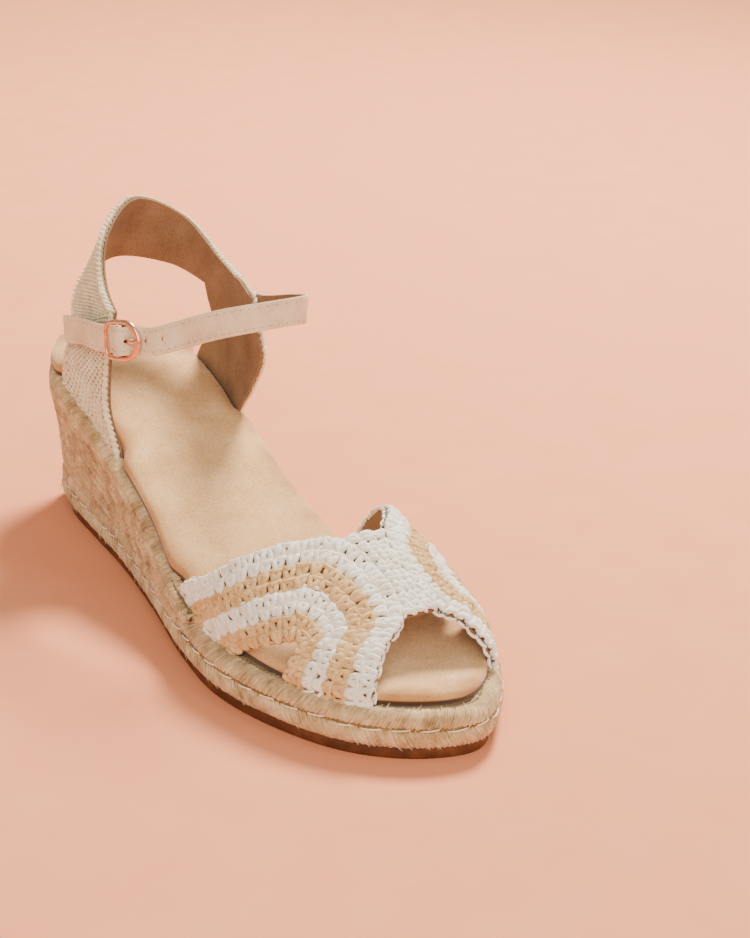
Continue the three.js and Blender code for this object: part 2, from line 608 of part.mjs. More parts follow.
// tool that punches one hole across the strap, "long" mm of it along the strap
function punch(fraction, radius, long = 0) {
  const along = STRAP_PATH.getTangentAt(fraction);
  const up = strapLean(fraction, along);
  const out = along.clone().cross(up).normalize();
  const shape = new THREE.Shape();
  shape.absarc(long / 2, 0, radius, -Math.PI / 2, Math.PI / 2, false);
  shape.absarc(-long / 2, 0, radius, Math.PI / 2, 3 * Math.PI / 2, false);
  const geometry = new THREE.ExtrudeGeometry(shape, { depth: 8, bevelEnabled: false, curveSegments: 6 });
  const matrix = new THREE.Matrix4().makeBasis(along, up, out).setPosition(STRAP_PATH.getPointAt(fraction));
  return geometry.translate(0, 0, -4).applyMatrix4(matrix);
}

function ankleStrap() {
  const length = STRAP_PATH.getLength();
  const bar = nearest(STRAP_PATH, onBuckle(0, 3.1));
  const first = bar + 4 / length;
  const holes = [punch(first, 1.1, 3.2)];
  [-1, 1, 2].forEach((k) => holes.push(punch(first + k * HOLE_PITCH / length, 0.8)));
  const plies = { ankle_strap: [STRAP_PLY, 'cream'], ankle_strap_lining: [STRAP_LINING_PLY, 'lining'] };
  Object.entries(plies).forEach(([name, [ply, finish]]) => {
    add(name, cut(ribbon(STRAP_PATH, STRAP_WIDTH, ply, STRAP_STEPS, strapLean), ...holes), finish);
  });
}

// short loop that holds the buckle: round the bar, then back under the strap to the lateral leg
const TAB = { width: 7.4, ply: [-0.3, 0.3], wrap: 1.35, slot: 2.4 };
function buckleTab() {
  const turn = [2.6, 1.5, 0.5, -0.5, -1.5];
  const loop = turn.map((k) => onBuckle(TAB.wrap * Math.cos(k), TAB.wrap * Math.sin(k)));
  const path = new THREE.CatmullRomCurve3([...loop, onBuckle(-4, -2.6), onBuckle(-8, -3.4),
    offBand(0.1, 88.8, 3.6), offBand(0.125, 88, 3.35), offBand(0.145, 87.5, 3.3), offBand(0.17, 86.5, 3.3)]);
  const lean = (t, along) => {
    const up = barUp.clone();
    return up.addScaledVector(along, -up.dot(along)).normalize();
  };
  const slot = new THREE.BoxGeometry(6.4, TAB.slot, 8).translate(1, 0, 0.6).applyMatrix4(buckleMatrix);
  add('buckle_tab', cut(ribbon(path, TAB.width, TAB.ply, 36, lean), slot), 'cream');
}

// round wire along a curve
function wire(curve, radius, steps, closed, taper = () => 1) {
  const sections = Array.from({ length: closed ? steps : steps + 1 }, (_, i) => {
    const t = i / steps;
    const p = curve.getPointAt(t);
    const along = curve.getTangentAt(t);
    const out = new THREE.Vector3(0, 0, 1).addScaledVector(along, -along.z).normalize();
    const across = along.clone().cross(out).normalize();
    return Array.from({ length: 8 }, (__, j) => {
      const k = 2 * Math.PI * j / 8;
      const r = radius * taper(t);
      return p.clone().addScaledVector(out, r * Math.cos(k)).addScaledVector(across, r * Math.sin(k));
    });
  });
  return loft(sections, closed);
}

const FRAME = { flat: -7.2, round: 7.5, half: 6.55, rise: 1.4 };
function buckle() {
  const group = new THREE.Group();
  group.applyMatrix4(buckleMatrix);
  sandal.add(group);
  const h = FRAME.half;
  const upper = [[FRAME.flat, 4.4], [-6.2, h - 0.3], [-3, h], [0, h], [3.2, h - 0.1], [6.2, 4.1]];
  const lower = upper.map(([f, w]) => [f, -w]).reverse();
  const outlineOfD = [...upper, [FRAME.round, 0], ...lower, [FRAME.flat, 0]];
  const onFrame = outlineOfD.map(([f, w]) => new THREE.Vector3(f, w, FRAME.rise));
  const ring = new THREE.CatmullRomCurve3(onFrame, true);
  const dip = [[-h, FRAME.rise], [-5.9, 0.4], [-4.8, 0], [4.8, 0], [5.9, 0.4], [h, FRAME.rise]];
  const bar = new THREE.CatmullRomCurve3(dip.map(([w, n]) => new THREE.Vector3(0, w, n)));
  const frame = solid(wire(ring, WIRE, 40, true)).add(solid(wire(bar, BAR, 10, false)));
  add('buckle_frame', fromSolid(frame), 'rose_gold', group);
  const tip = new THREE.CatmullRomCurve3([[1.1, 1.0], [3.3, 1.9], [5.6, 3.0], [8.3, 3.2]]
    .map(([f, n]) => new THREE.Vector3(f, 0, n)));
  const loop = new THREE.TorusGeometry(1.5, 0.5, 6, 16).rotateX(Math.PI / 2);
  const prong = solid(loop).add(solid(wire(tip, 0.62, 7, false, (t) => lerp(0.85, 1, t))));
  add('buckle_prong', fromSolid(prong), 'rose_gold', group);
}

sole();
vamp();
quarters();
ankleStrap();
buckleTab();
buckle();

export default sandal;
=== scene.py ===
"""Looks of an espadrille wedge sandal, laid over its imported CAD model.

Shapes are worked out in millimetres, in the CAD frame: +Y heel, -Y toe, +X medial side, +Z up.
"s" is the distance forward from the back of the footbed, and "u" runs once round an outline, from the
back of the heel along the lateral side to the toe and back along the medial side.
"""

import math

import bmesh
import bpy
import numpy as np
from mathutils import Matrix, Vector


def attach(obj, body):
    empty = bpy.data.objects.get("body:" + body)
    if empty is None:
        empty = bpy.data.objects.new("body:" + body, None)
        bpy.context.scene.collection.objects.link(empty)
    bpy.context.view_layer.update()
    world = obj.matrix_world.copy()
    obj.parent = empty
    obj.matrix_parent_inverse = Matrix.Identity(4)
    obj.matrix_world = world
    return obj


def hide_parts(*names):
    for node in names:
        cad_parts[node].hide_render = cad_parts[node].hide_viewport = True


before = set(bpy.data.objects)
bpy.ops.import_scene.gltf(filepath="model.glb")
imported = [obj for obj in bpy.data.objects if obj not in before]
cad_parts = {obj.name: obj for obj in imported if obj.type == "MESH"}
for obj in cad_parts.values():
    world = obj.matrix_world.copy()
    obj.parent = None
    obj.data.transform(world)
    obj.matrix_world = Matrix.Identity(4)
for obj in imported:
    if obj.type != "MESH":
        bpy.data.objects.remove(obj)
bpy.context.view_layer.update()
MM = 0.001
rng = np.random.default_rng(7)

# ---------------------------------------------------------------- dimensions shared with the CAD, mm
HEEL_Y = 125.35
CENTRE_X = 1.24
BAND_Y = HEEL_Y - 120
OUTSOLE_THICK = 4.9
OUTSOLE_LIP = 0.8
FOXING_TOP = 16.5
FOXING_PROUD = 1.5
HEEL_EDGE = 62
BRAID_ROWS = 5
GAP = 0.3
LINING = (-0.9, -0.2)
STRAP_WIDTH = 10.2
HOLE_PITCH = 7.5
FIRST_HOLE = 4
TAB_WIDTH = 7.4
FOOTBED_RISE = 4.9

FOOTBED = [(-1, 0.5), (-17, 4.5), (-26.5, 20), (-30, 45), (-30, 75), (-31.5, 110), (-38.5, 149),
           (-40, 177), (-35.5, 204), (-24, 226), (-6.5, 239), (11, 243), (27, 233), (37.5, 214),
           (39.5, 187), (34, 156.5), (24, 122), (23, 87), (26, 57), (25, 24), (15, 6)]
OUTSOLE = [(-0.5, 7.5), (-14.5, 11.5), (-21.5, 28), (-24.5, 51), (-27.5, 79), (-34, 114),
           (-42.5, 150.5), (-45.5, 179), (-39, 207), (-26, 230.5), (-6.5, 245), (12.5, 248.5),
           (27, 237), (40, 217.5), (43, 188.5), (37, 156.5), (27, 121.5), (24.5, 86), (25, 58),
           (22.5, 30), (14, 13.5)]
EDGE_HEIGHT = [(0, HEEL_EDGE), (20, 61.5), (50, 56), (80, 46), (110, 34), (140, 22), (165, 16.8),
               (190, 15.8), (250, 15.8)]
VAMP_HEIGHT = [(135, 48), (165, 41), (190, 32.5), (225, 16.5), (240, 9)]
BAND_LOW_Z = 62
BAND_HIGH_Z = 125
BAND_LOW = [(-31.5, 35.5), (-31.5, 72), (-27, 104), (-5, 122), (21, 108), (28.5, 72), (24, 35.5)]
BAND_HIGH = [(-25.5, 29), (-22.5, 57), (-15, 77.5), (1.5, 92.5), (24, 90), (28, 68.5), (21, 40.5)]
BAND_RIM = [(0, 90), (0.17, 102.5), (0.33, 118.5), (0.5, 126), (0.67, 116), (0.83, 104.5), (1, 101)]
BAND_HEM = [(0.1, 76), (0.235, 82), (0.35, 92.5), (0.5, 99.5), (0.65, 96), (0.775, 92.5), (0.9, 91)]


# ---------------------------------------------------------------- curves and outlines
def unit(v):
    return v / np.maximum(np.linalg.norm(v, axis=-1, keepdims=True), 1e-12)


def step(x, a, b):
    t = np.clip((np.asarray(x, float) - a) / (b - a), 0, 1)
    return t * t * (3 - 2 * t)


def mix(a, b, t):
    return a + (b - a) * t


def knots(pairs):
    """Smooth curve through (x, value) pairs, level beyond both ends."""
    x, y = np.array(pairs, float).T
    before, after = np.r_[0, np.arange(len(x) - 1)], np.r_[np.arange(1, len(x)), len(x) - 1]
    slope = (y[after] - y[before]) / (x[after] - x[before])

    def at(q):
        q = np.clip(np.asarray(q, float), x[0], x[-1])
        i = np.clip(np.searchsorted(x, q, side="left") - 1, 0, len(x) - 2)
        h = x[i + 1] - x[i]
        t = (q - x[i]) / h
        return (y[i] * (2 * t**3 - 3 * t**2 + 1) + slope[i] * h * (t**3 - 2 * t**2 + t)
                + y[i + 1] * (3 * t**2 - 2 * t**3) + slope[i + 1] * h * (t**3 - t**2))

    return at


def curve(points, closed=False):
    """Centripetal Catmull-Rom curve: at(t) is its point at t, from 0 to 1, evenly from point to point.
    The points may also be arrays with one row for each t."""
    p = np.array(points, float)
    n = len(p)

    def at(t):
        t = np.atleast_1d(np.asarray(t, float))
        if closed:
            q = (t % 1) * n
            i = np.floor(q).astype(int)
            index = [(i + k) % n for k in (-1, 0, 1, 2)]
            ring = p
        else:
            q = np.clip(t, 0, 1) * (n - 1)
            i = np.minimum(np.floor(q).astype(int), n - 2)
            index = [i + k for k in range(4)]
            ring = np.concatenate([2 * p[:1] - p[1:2], p, 2 * p[-1:] - p[-2:-1]])
        w = (q - i)[:, None]
        own = np.arange(len(t))
        p0, p1, p2, p3 = (ring[k] if ring.ndim == 2 else ring[k, own] for k in index)
        d0, d1, d2 = (np.sqrt(np.maximum(np.linalg.norm(b - a, axis=-1, keepdims=True), 1e-8))
                      for a, b in ((p0, p1), (p1, p2), (p2, p3)))
        m1 = ((p1 - p0) / d0 - (p2 - p0) / (d0 + d1) + (p2 - p1) / d1) * d1
        m2 = ((p2 - p1) / d1 - (p3 - p1) / (d1 + d2) + (p3 - p2) / d2) * d1
        return (p1 + m1 * w + (3 * (p2 - p1) - 2 * m1 - m2) * w**2
                + (2 * (p1 - p2) + m1 + m2) * w**3)

    return at


def evenly(line, spacing, fine=600):
    """Parameters t that cut a line, given as a function of t from 0 to 1, into equal lengths near spacing,
    and its whole length."""
    t = np.linspace(0, 1, fine)
    length = np.r_[0, np.cumsum(np.linalg.norm(np.diff(line(t), axis=0), axis=1))]
    n = max(int(round(length[-1] / spacing)), 2)
    return np.interp(np.linspace(0, length[-1], n + 1), length, t), length[-1]


def outline(points):
    """Closed outline: at(u, d) gives x and s of the point d outside it."""
    line = curve(points, closed=True)

    def at(u, d=0.0):
        u = np.atleast_1d(np.asarray(u, float))
        p = line(u)
        t = unit(line(u + 0.002) - line(u - 0.002))
        return p[:, 0] - t[:, 1] * d, p[:, 1] + t[:, 0] * d

    return at


def spans(edge, offset):
    """The outline's lateral and medial x as functions of s."""
    x, s = edge(np.linspace(0, 1, 2001)[:-1], offset)
    x, s = np.roll(x, -s.argmin()), np.roll(s, -s.argmin())
    toe = s.argmax()
    return lambda q: (np.interp(q, s[:toe + 1], x[:toe + 1]),
                      np.interp(q, s[toe:][::-1], x[toe:][::-1]))


def place(x, s, z):
    x, s, z = np.broadcast_arrays(x, s, z)
    return np.stack([x + CENTRE_X, HEEL_Y - s, z], -1)


edge_height = knots(EDGE_HEIGHT)
vamp_height = knots(VAMP_HEIGHT)
rim_height = knots(BAND_RIM)
hem_height = knots(BAND_HEM)
footbed_edge = outline(FOOTBED)
outsole_edge = outline(OUTSOLE)
foot_span = spans(footbed_edge, 0.5)


# ---------------------------------------------------------------- meshes
def tube(steps, sides, pinched=False):
    """A straight closed tube along x from 0 to 1, with a ring of radius 1 in y and z. Its ends are capped,
    or pinched flat, each corner joined to the one across from it."""
    bm = bmesh.new()
    bmesh.ops.create_grid(bm, x_segments=steps, y_segments=sides, size=0.5)
    for v in bm.verts:
        turn = 2 * math.pi * (v.co.y + 0.5)
        v.co = (v.co.x + 0.5, math.cos(turn), math.sin(turn))
        if pinched and not 1e-6 < v.co.x < 1 - 1e-6:
            v.co.z = 0
    bmesh.ops.remove_doubles(bm, verts=bm.verts, dist=1e-5)
    if not pinched:
        bmesh.ops.holes_fill(bm, edges=[e for e in bm.edges if e.is_boundary], sides=0)
    return bm


def slab(na, nb):
    """A flat closed slab with x, y and z from 0 to 1."""
    bm = bmesh.new()
    bmesh.ops.create_grid(bm, x_segments=na, y_segments=nb, size=0.5,
                          matrix=Matrix.Translation((0.5, 0.5, 0)))
    raised = bmesh.ops.extrude_face_region(bm, geom=bm.faces[:])["geom"]
    for v in raised:
        if isinstance(v, bmesh.types.BMVert):
            v.co.z = 1
    return bm


def pellet():
    """A round lump of radius 1 with few faces, for shapes that repeat many times."""
    bm = bmesh.new()
    bmesh.ops.create_uvsphere(bm, u_segments=6, v_segments=5, radius=1)
    return bm


def copies(bm, count, finish=0):
    """A part made of count copies of a small mesh, and the corners of all of them before they are laid."""
    bmesh.ops.recalc_face_normals(bm, faces=bm.faces)
    mesh = bpy.data.meshes.new("copy")
    bm.to_mesh(mesh)
    bm.free()
    mesh.polygons.foreach_set("material_index", [finish] * len(mesh.polygons))
    corners = np.empty(len(mesh.vertices) * 3)
    mesh.vertices.foreach_get("co", corners)
    return {"mesh": mesh, "count": count}, np.tile(corners.reshape(1, -1, 3), (count, 1, 1))


def strands(paths, outs, wide, thick, sides=8, square=1.0, finish=0):
    """Tubes along paths, (count, points, 3), flattened to the half sizes wide and thick. outs says which
    way is out, and square below 1 squares the section up."""
    paths = np.asarray(paths, float)
    count, n, _ = paths.shape
    part, local = copies(tube(n - 1, sides), count, finish)
    ring = np.rint(local[..., 0] * (n - 1)).astype(int)
    own = np.arange(count)[:, None]
    along = unit(np.gradient(paths, axis=1))
    side = unit(np.cross(np.broadcast_to(outs, paths.shape), along))
    out = np.cross(along, side)
    wide, thick = (np.broadcast_to(v, (count, n))[own, ring] for v in (wide, thick))
    y, z = (np.sign(v) * np.abs(v) ** square * half
            for v, half in ((local[..., 1], wide), (local[..., 2], thick)))
    part["co"] = paths[own, ring] + side[own, ring] * y[..., None] + out[own, ring] * z[..., None]
    gone = np.linalg.norm(np.diff(paths, axis=1), axis=2)
    length = np.concatenate([np.zeros((count, 1)), np.cumsum(gone, axis=1)], axis=1)
    start = rng.uniform(0, 400, (count, 1))
    part["lay"] = np.stack([length[own, ring] + start, y, z], -1)
    return part


def skin(surface, na, nb, low, high, finish=0):
    """A sheet on a surface(a, b, d), between two distances d along its normal."""
    part, local = copies(slab(na, nb), 1, finish)
    a, b, c = local.reshape(-1, 3).T
    part["co"] = surface(a, b, mix(low, high, c))[None]
    part["lay"] = part["co"]
    return part


def build(name, parts, finishes):
    """One mesh object of several parts, with the finishes that the parts' numbers stand for."""
    bm = bmesh.new()
    for part in parts:
        for _ in range(part["count"]):
            bm.from_mesh(part["mesh"])
    mesh = bpy.data.meshes.new(name)
    bm.to_mesh(mesh)
    bm.free()
    for part in parts:
        bpy.data.meshes.remove(part["mesh"])
    co, lay = (np.concatenate([p[k].reshape(-1, 3) for p in parts]) * MM for k in ("co", "lay"))
    mesh.vertices.foreach_set("co", co.ravel())
    mesh.attributes.new("lay", "FLOAT_VECTOR", "POINT").data.foreach_set("vector", lay.ravel())
    mesh.polygons.foreach_set("use_smooth", [True] * len(mesh.polygons))
    mesh.update()
    mesh.set_sharp_from_angle(angle=math.radians(60))
    for finish in finishes:
        mesh.materials.append(finish)
    obj = bpy.data.objects.new(name, mesh)
    bpy.context.scene.collection.objects.link(obj)
    return obj


def fit(obj, body, slot, *nodes):
    """Rides the piece on its body in place of the CAD nodes that it stands for."""
    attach(obj, body)
    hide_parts(*nodes)
    return obj


# ---------------------------------------------------------------- finishes
def linear(code):
    """An sRGB hex colour as linear light, opaque."""
    parts = [int(code[k:k + 2], 16) / 255 for k in (1, 3, 5)]
    return (*[v / 12.92 if v <= 0.04045 else ((v + 0.055) / 1.055) ** 2.4 for v in parts], 1.0)


def add(tree, kind, inputs=None, **settings):
    """Adds a node with its settings, and fills or links its inputs."""
    node = tree.nodes.new(kind)
    for key, value in settings.items():
        setattr(node, key, value)
    for key, value in (inputs or {}).items():
        if isinstance(value, bpy.types.NodeSocket):
            tree.links.new(value, node.inputs[key])
        else:
            node.inputs[key].default_value = value
    return node


def material(name):
    """A new material's node tree and its shader."""
    made = bpy.data.materials.new(name)
    made.use_nodes = True
    return made, made.node_tree, made.node_tree.nodes["Principled BSDF"]


def on_object(tree):
    """Object coordinates, in metres."""
    return add(tree, "ShaderNodeTexCoord").outputs["Object"]


def ramp(tree, factor, stops):
    """Colours along a factor: (position, hex colour) pairs."""
    node = add(tree, "ShaderNodeValToRGB", {"Fac": factor})
    while len(node.color_ramp.elements) < len(stops):
        node.color_ramp.elements.new(0.5)
    for element, (position, code) in zip(node.color_ramp.elements, stops):
        element.position = position
        element.color = linear(code)
    return node.outputs["Color"]


def yarn(name, dark, middle, light, fibre=0.4, length=8.0, blotch=9.0, depth=0.25, rough=0.9, sheen=0.25):
    """Spun fibre: fine streaks along the lay of the yarn, and blotches where the fibre takes less colour.
    fibre and length are the streak's width and length, and blotch the size of a blotch, in mm.
    Real fibres are 0.02 to 0.1 mm, too fine to show, so the streaks are drawn coarser."""
    made, tree, shader = material(name)
    lay = add(tree, "ShaderNodeAttribute", attribute_name="lay")
    along = add(tree, "ShaderNodeMapping", {
        "Vector": lay.outputs["Vector"], "Scale": (1 / (length * MM), 1 / (fibre * MM), 1 / (fibre * MM))})
    streak = add(tree, "ShaderNodeTexNoise", {
        "Vector": along.outputs["Vector"], "Scale": 1.0, "Detail": 3.0, "Roughness": 0.6})
    spots = add(tree, "ShaderNodeTexNoise", {
        "Vector": on_object(tree), "Scale": 1 / (blotch * MM), "Detail": 3.0, "Roughness": 0.6})
    both = add(tree, "ShaderNodeMath", {0: streak.outputs["Fac"], 1: spots.outputs["Fac"]}, operation="ADD")
    half = add(tree, "ShaderNodeMath", {0: both.outputs[0], 1: 0.5}, operation="MULTIPLY")
    tint = ramp(tree, half.outputs[0], [(0.33, dark), (0.5, middle), (0.66, light)])
    bump = add(tree, "ShaderNodeBump", {
        "Height": streak.outputs["Fac"], "Strength": 0.8, "Distance": depth * MM})
    tree.links.new(tint, shader.inputs["Base Color"])
    tree.links.new(bump.outputs["Normal"], shader.inputs["Normal"])
    shader.inputs["Roughness"].default_value = rough
    shader.inputs["Sheen Weight"].default_value = sheen
    shader.inputs["Specular IOR Level"].default_value = 0.25
    return made


def nap(name, dark, middle, light, fine=0.5, coarse=14.0, rough=0.95, sheen=0.35):
    """Napped suede: fine speckle of standing fibre, and soft patches where the nap has been brushed. fine
    and coarse are the sizes of a speck and a patch, in mm."""
    made, tree, shader = material(name)
    where = on_object(tree)
    speck = add(tree, "ShaderNodeTexNoise", {
        "Vector": where, "Scale": 1 / (fine * MM), "Detail": 4.0, "Roughness": 0.7})
    patch = add(tree, "ShaderNodeTexNoise", {
        "Vector": where, "Scale": 1 / (coarse * MM), "Detail": 4.0, "Roughness": 0.55})
    factor = add(tree, "ShaderNodeMix", {
        "Factor": 0.62, "A": patch.outputs["Fac"], "B": speck.outputs["Fac"]})
    tint = ramp(tree, factor.outputs["Result"], [(0.34, dark), (0.5, middle), (0.66, light)])
    bump = add(tree, "ShaderNodeBump", {
        "Height": speck.outputs["Fac"], "Strength": 0.6, "Distance": 0.06 * MM})
    tree.links.new(tint, shader.inputs["Base Color"])
    tree.links.new(bump.outputs["Normal"], shader.inputs["Normal"])
    shader.inputs["Roughness"].default_value = rough
    shader.inputs["Sheen Weight"].default_value = sheen
    shader.inputs["Sheen Roughness"].default_value = 0.5
    shader.inputs["Specular IOR Level"].default_value = 0.2
    return made, tree, shader, tint


# raw jute, barely bleached: matt straw to brown, streaked along each bundle, paler where hairs catch light
jute = yarn("jute_plait", "#6f5431", "#c8a675", "#f2deb2", fibre=0.3, length=7, blotch=7, depth=0.5)
# the backing strips are coloured dark brown: painted shade in the gaps between the bundles
jute_shade = yarn("jute_backing_painted_shade", "#54401f", "#786039", "#9c8152", fibre=0.5, length=14, blotch=16)
jute_hair = yarn("jute_loose_fibre", "#c8ab7c", "#e0c99e", "#f2e2be", fibre=1, length=20, blotch=20)
# soft cotton cord, twisted every few millimetres: bright and matt, with its plies as short slanted streaks
ivory = yarn("cotton_cord_ivory", "#dccfb9", "#f8f2e6", "#fffdf8",
             fibre=0.45, length=1.2, blotch=6, depth=0.4, sheen=0.15)
sand = yarn("cotton_cord_sand", "#b98a52", "#dcb47c", "#f2d6a4",
            fibre=0.45, length=1.2, blotch=6, depth=0.4, sheen=0.15)
# spun linen and cotton yarns of the basketweave: cream over tan, dry looking
weft = yarn("weave_yarn_cream", "#cfb88e", "#eedebd", "#fbf1dc", fibre=0.3, length=3, blotch=5, depth=0.12)
warp = yarn("weave_yarn_tan", "#80694a", "#a38862", "#c4aa82", fibre=0.3, length=3, blotch=5, depth=0.12)
# waxed sewing thread: smoother and a little glossier than the jute it lies on
stitching = yarn("waxed_thread_cream", "#d9c4a0", "#efe0c4", "#fbf3e2",
                 fibre=0.3, length=2, blotch=8, depth=0.05, rough=0.6)
# microsuede lining: brown, quite dull, mottled where the nap lies both ways
lining_suede = nap("microsuede_brown", "#6c5039", "#8c6c4f", "#a38365", rough=1.0, sheen=0.1)[0]

# moulded rubber of the outsole: brown, half matt, finely pitted, with darker scuffed clouds
rubber, tree, shader = material("moulded_brown_rubber")
where = on_object(tree)
scuff = add(tree, "ShaderNodeTexNoise", {"Vector": where, "Scale": 1 / (6 * MM), "Detail": 6.0})
tree.links.new(ramp(tree, scuff.outputs["Fac"], [(0.3, "#43240f"), (0.55, "#5b331a"), (0.75, "#744729")]),
               shader.inputs["Base Color"])
pit = add(tree, "ShaderNodeTexNoise", {"Vector": where, "Scale": 1 / (0.6 * MM), "Detail": 2.0})
dented = add(tree, "ShaderNodeBump", {"Height": pit.outputs["Fac"], "Strength": 0.3, "Distance": 0.05 * MM})
tree.links.new(dented.outputs["Normal"], shader.inputs["Normal"])
shader.inputs["Roughness"].default_value = 0.5

# footbed suede: the airbrushed edge is darker and redder, and the turned side by the jute is painted dark
# brown as shade, the painted shadow of the gap between cover and jute; the "edge" attribute carries both
footbed_suede, tree, shader, tint = nap("footbed_microsuede", "#c09058", "#dfb07a", "#f4ce98", fine=0.7)
edge = add(tree, "ShaderNodeAttribute", attribute_name="edge").outputs["Fac"]
drift = add(tree, "ShaderNodeTexNoise", {
    "Vector": on_object(tree), "Scale": 1 / (22 * MM), "Detail": 3.0})
sprayed = add(tree, "ShaderNodeMapRange", {"Value": edge, "From Min": 0.72, "From Max": 0.97})
uneven = add(tree, "ShaderNodeMapRange", {
    "Value": drift.outputs["Fac"], "From Min": 0.35, "From Max": 0.62, "To Min": 0.15, "To Max": 0.85})
share = add(tree, "ShaderNodeMath", {0: sprayed.outputs["Result"], 1: uneven.outputs["Result"]},
            operation="MULTIPLY")
brushed = add(tree, "ShaderNodeMix", {"Factor": share.outputs[0], "A": tint, "B": linear("#ae7744")},
              data_type="RGBA")
# painted shadow of the gap by the jute, on the turned side where edge is over 1
gap_shade_mask = add(tree, "ShaderNodeMapRange", {"Value": edge, "From Min": 1.1, "From Max": 1.4})
gap_shaded = add(tree, "ShaderNodeMix", {
    "Factor": gap_shade_mask.outputs["Result"], "A": brushed.outputs["Result"], "B": linear("#54331a")},
    data_type="RGBA")
tree.links.new(gap_shaded.outputs["Result"], shader.inputs["Base Color"])

# coated leather of the ankle strap: cream, fine pebbled grain, a soft shine
strap_leather, tree, shader = material("coated_leather_cream")
where = on_object(tree)
grain = add(tree, "ShaderNodeTexVoronoi", {"Vector": where, "Scale": 1 / (0.55 * MM)})
fine = add(tree, "ShaderNodeTexNoise", {"Vector": where, "Scale": 1 / (0.4 * MM), "Detail": 3.0})
cloud = add(tree, "ShaderNodeTexNoise", {"Vector": where, "Scale": 1 / (8 * MM), "Detail": 3.0})
tone = add(tree, "ShaderNodeMix", {"Factor": 0.5, "A": cloud.outputs["Fac"], "B": fine.outputs["Fac"]})
tree.links.new(ramp(tree, tone.outputs["Result"], [(0.34, "#cfb997"), (0.5, "#e4d2b3"), (0.66, "#f2e5cd")]),
               shader.inputs["Base Color"])
pebbled = add(tree, "ShaderNodeBump", {
    "Height": grain.outputs["Distance"], "Strength": 0.5, "Distance": 0.08 * MM})
tree.links.new(pebbled.outputs["Normal"], shader.inputs["Normal"])
shader.inputs["Roughness"].default_value = 0.55

# needle holes in that leather: dull brown specks, painted shade in the holes and where its raw inside shows
pinhole, tree, shader = material("needle_hole_shadow")
dirt = add(tree, "ShaderNodeTexNoise", {"Vector": on_object(tree), "Scale": 1 / (0.3 * MM)})
tree.links.new(ramp(tree, dirt.outputs["Fac"], [(0.3, "#5a4530"), (0.7, "#8a7254")]),
               shader.inputs["Base Color"])
shader.inputs["Roughness"].default_value = 0.95

# rose gold plate on cast zinc: warm pink mirror, a little smeared by handling
rose_gold, tree, shader = material("rose_gold_plate")
smear = add(tree, "ShaderNodeTexNoise", {"Vector": on_object(tree), "Scale": 1 / (2.5 * MM), "Detail": 3.0})
tree.links.new(ramp(tree, smear.outputs["Fac"], [(0.35, "#f0ab86"), (0.65, "#fbc9aa")]),
               shader.inputs["Base Color"])
polish = add(tree, "ShaderNodeMapRange", {"Value": smear.outputs["Fac"], "To Min": 0.14, "To Max": 0.3})
tree.links.new(polish.outputs["Result"], shader.inputs["Roughness"])
shader.inputs["Metallic"].default_value = 1.0

# ---------------------------------------------------------------- sole
OUT = np.array([0.0, 0.0, 1.0])


def pillow(edge, offset, sections, spine, count=300):
    """A closed rounded body inside an outline. sections are (inset, height) pairs from the middle of its
    underside round to the middle of its top, with heights as functions of s. An inset is a share of the way
    from the spine to the outline, and past 1 comes back in by a millimetre for each unit over. None is the
    spine itself, which runs between the two given values of s."""
    part, local = copies(tube(len(sections) - 1, count, pinched=True), 1)
    ring = np.rint(local[0, :, 0] * (len(sections) - 1)).astype(int)
    ends = (ring == 0) | (ring == len(sections) - 1)
    y, z = local[0, :, 1], local[0, :, 2]
    u = np.where(ends, np.arccos(np.clip(y, -1, 1)), np.arctan2(z, y)) / (2 * math.pi) % 1
    co = np.empty((len(u), 3))
    across = spans(edge, offset)
    for k, (inset, height) in enumerate(sections):
        own = ring == k
        x, s = edge(u[own], offset)
        if inset is None:
            s = np.clip((s + edge(1 - u[own], offset)[1]) / 2, *spine)
            lateral, medial = across(s)
            x = (lateral + medial) / 2
        elif inset < 1:
            lateral, medial = across(np.clip(s, *spine))
            x, s = mix((lateral + medial) / 2, x, inset), mix(np.clip(s, *spine), s, inset)
        else:
            x, s = edge(u[own], offset - (inset - 1))
        co[own] = place(x, s, height(s))
    part["co"] = part["lay"] = co[None]
    part["ring"] = ring
    return part


def flat(z):
    return lambda s: z + 0 * s


def above_edge(rise):
    return lambda s: edge_height(s) + rise


SOLE_SPINE = (40, 215)
outsole = build("outsole_rubber", [pillow(outsole_edge, 0.0, [
    (None, flat(0)), (0.6, flat(0)), (1 + OUTSOLE_LIP, flat(0)), (1.25, flat(0.2)), (1.0, flat(0.8)),
    (1.0, flat(2.4)), (1.0, flat(OUTSOLE_THICK - 0.5)), (1.2, flat(OUTSOLE_THICK - 0.1)),
    (2.5, flat(OUTSOLE_THICK)), (0.6, flat(OUTSOLE_THICK)), (None, flat(OUTSOLE_THICK))],
    SOLE_SPINE)], [rubber])
fit(outsole, "sandal", "rubber", "outsole")


def cover_edge(u, d=0.0):
    """The footbed cover's edge: it keeps clear of the uppers and reaches out over the jute between them."""
    s = footbed_edge(u)[1]
    start = np.where(np.asarray(u) % 1 < 0.5, 80, 70)
    waist = mix(-1, 2.6, step(s, start, start + 8) * (1 - step(s, 132, 140)))
    heel = mix(-0.2, 2.6, step(s, 8, 26))
    return footbed_edge(u, mix(heel, waist, step(s, 30, 35)) + d)


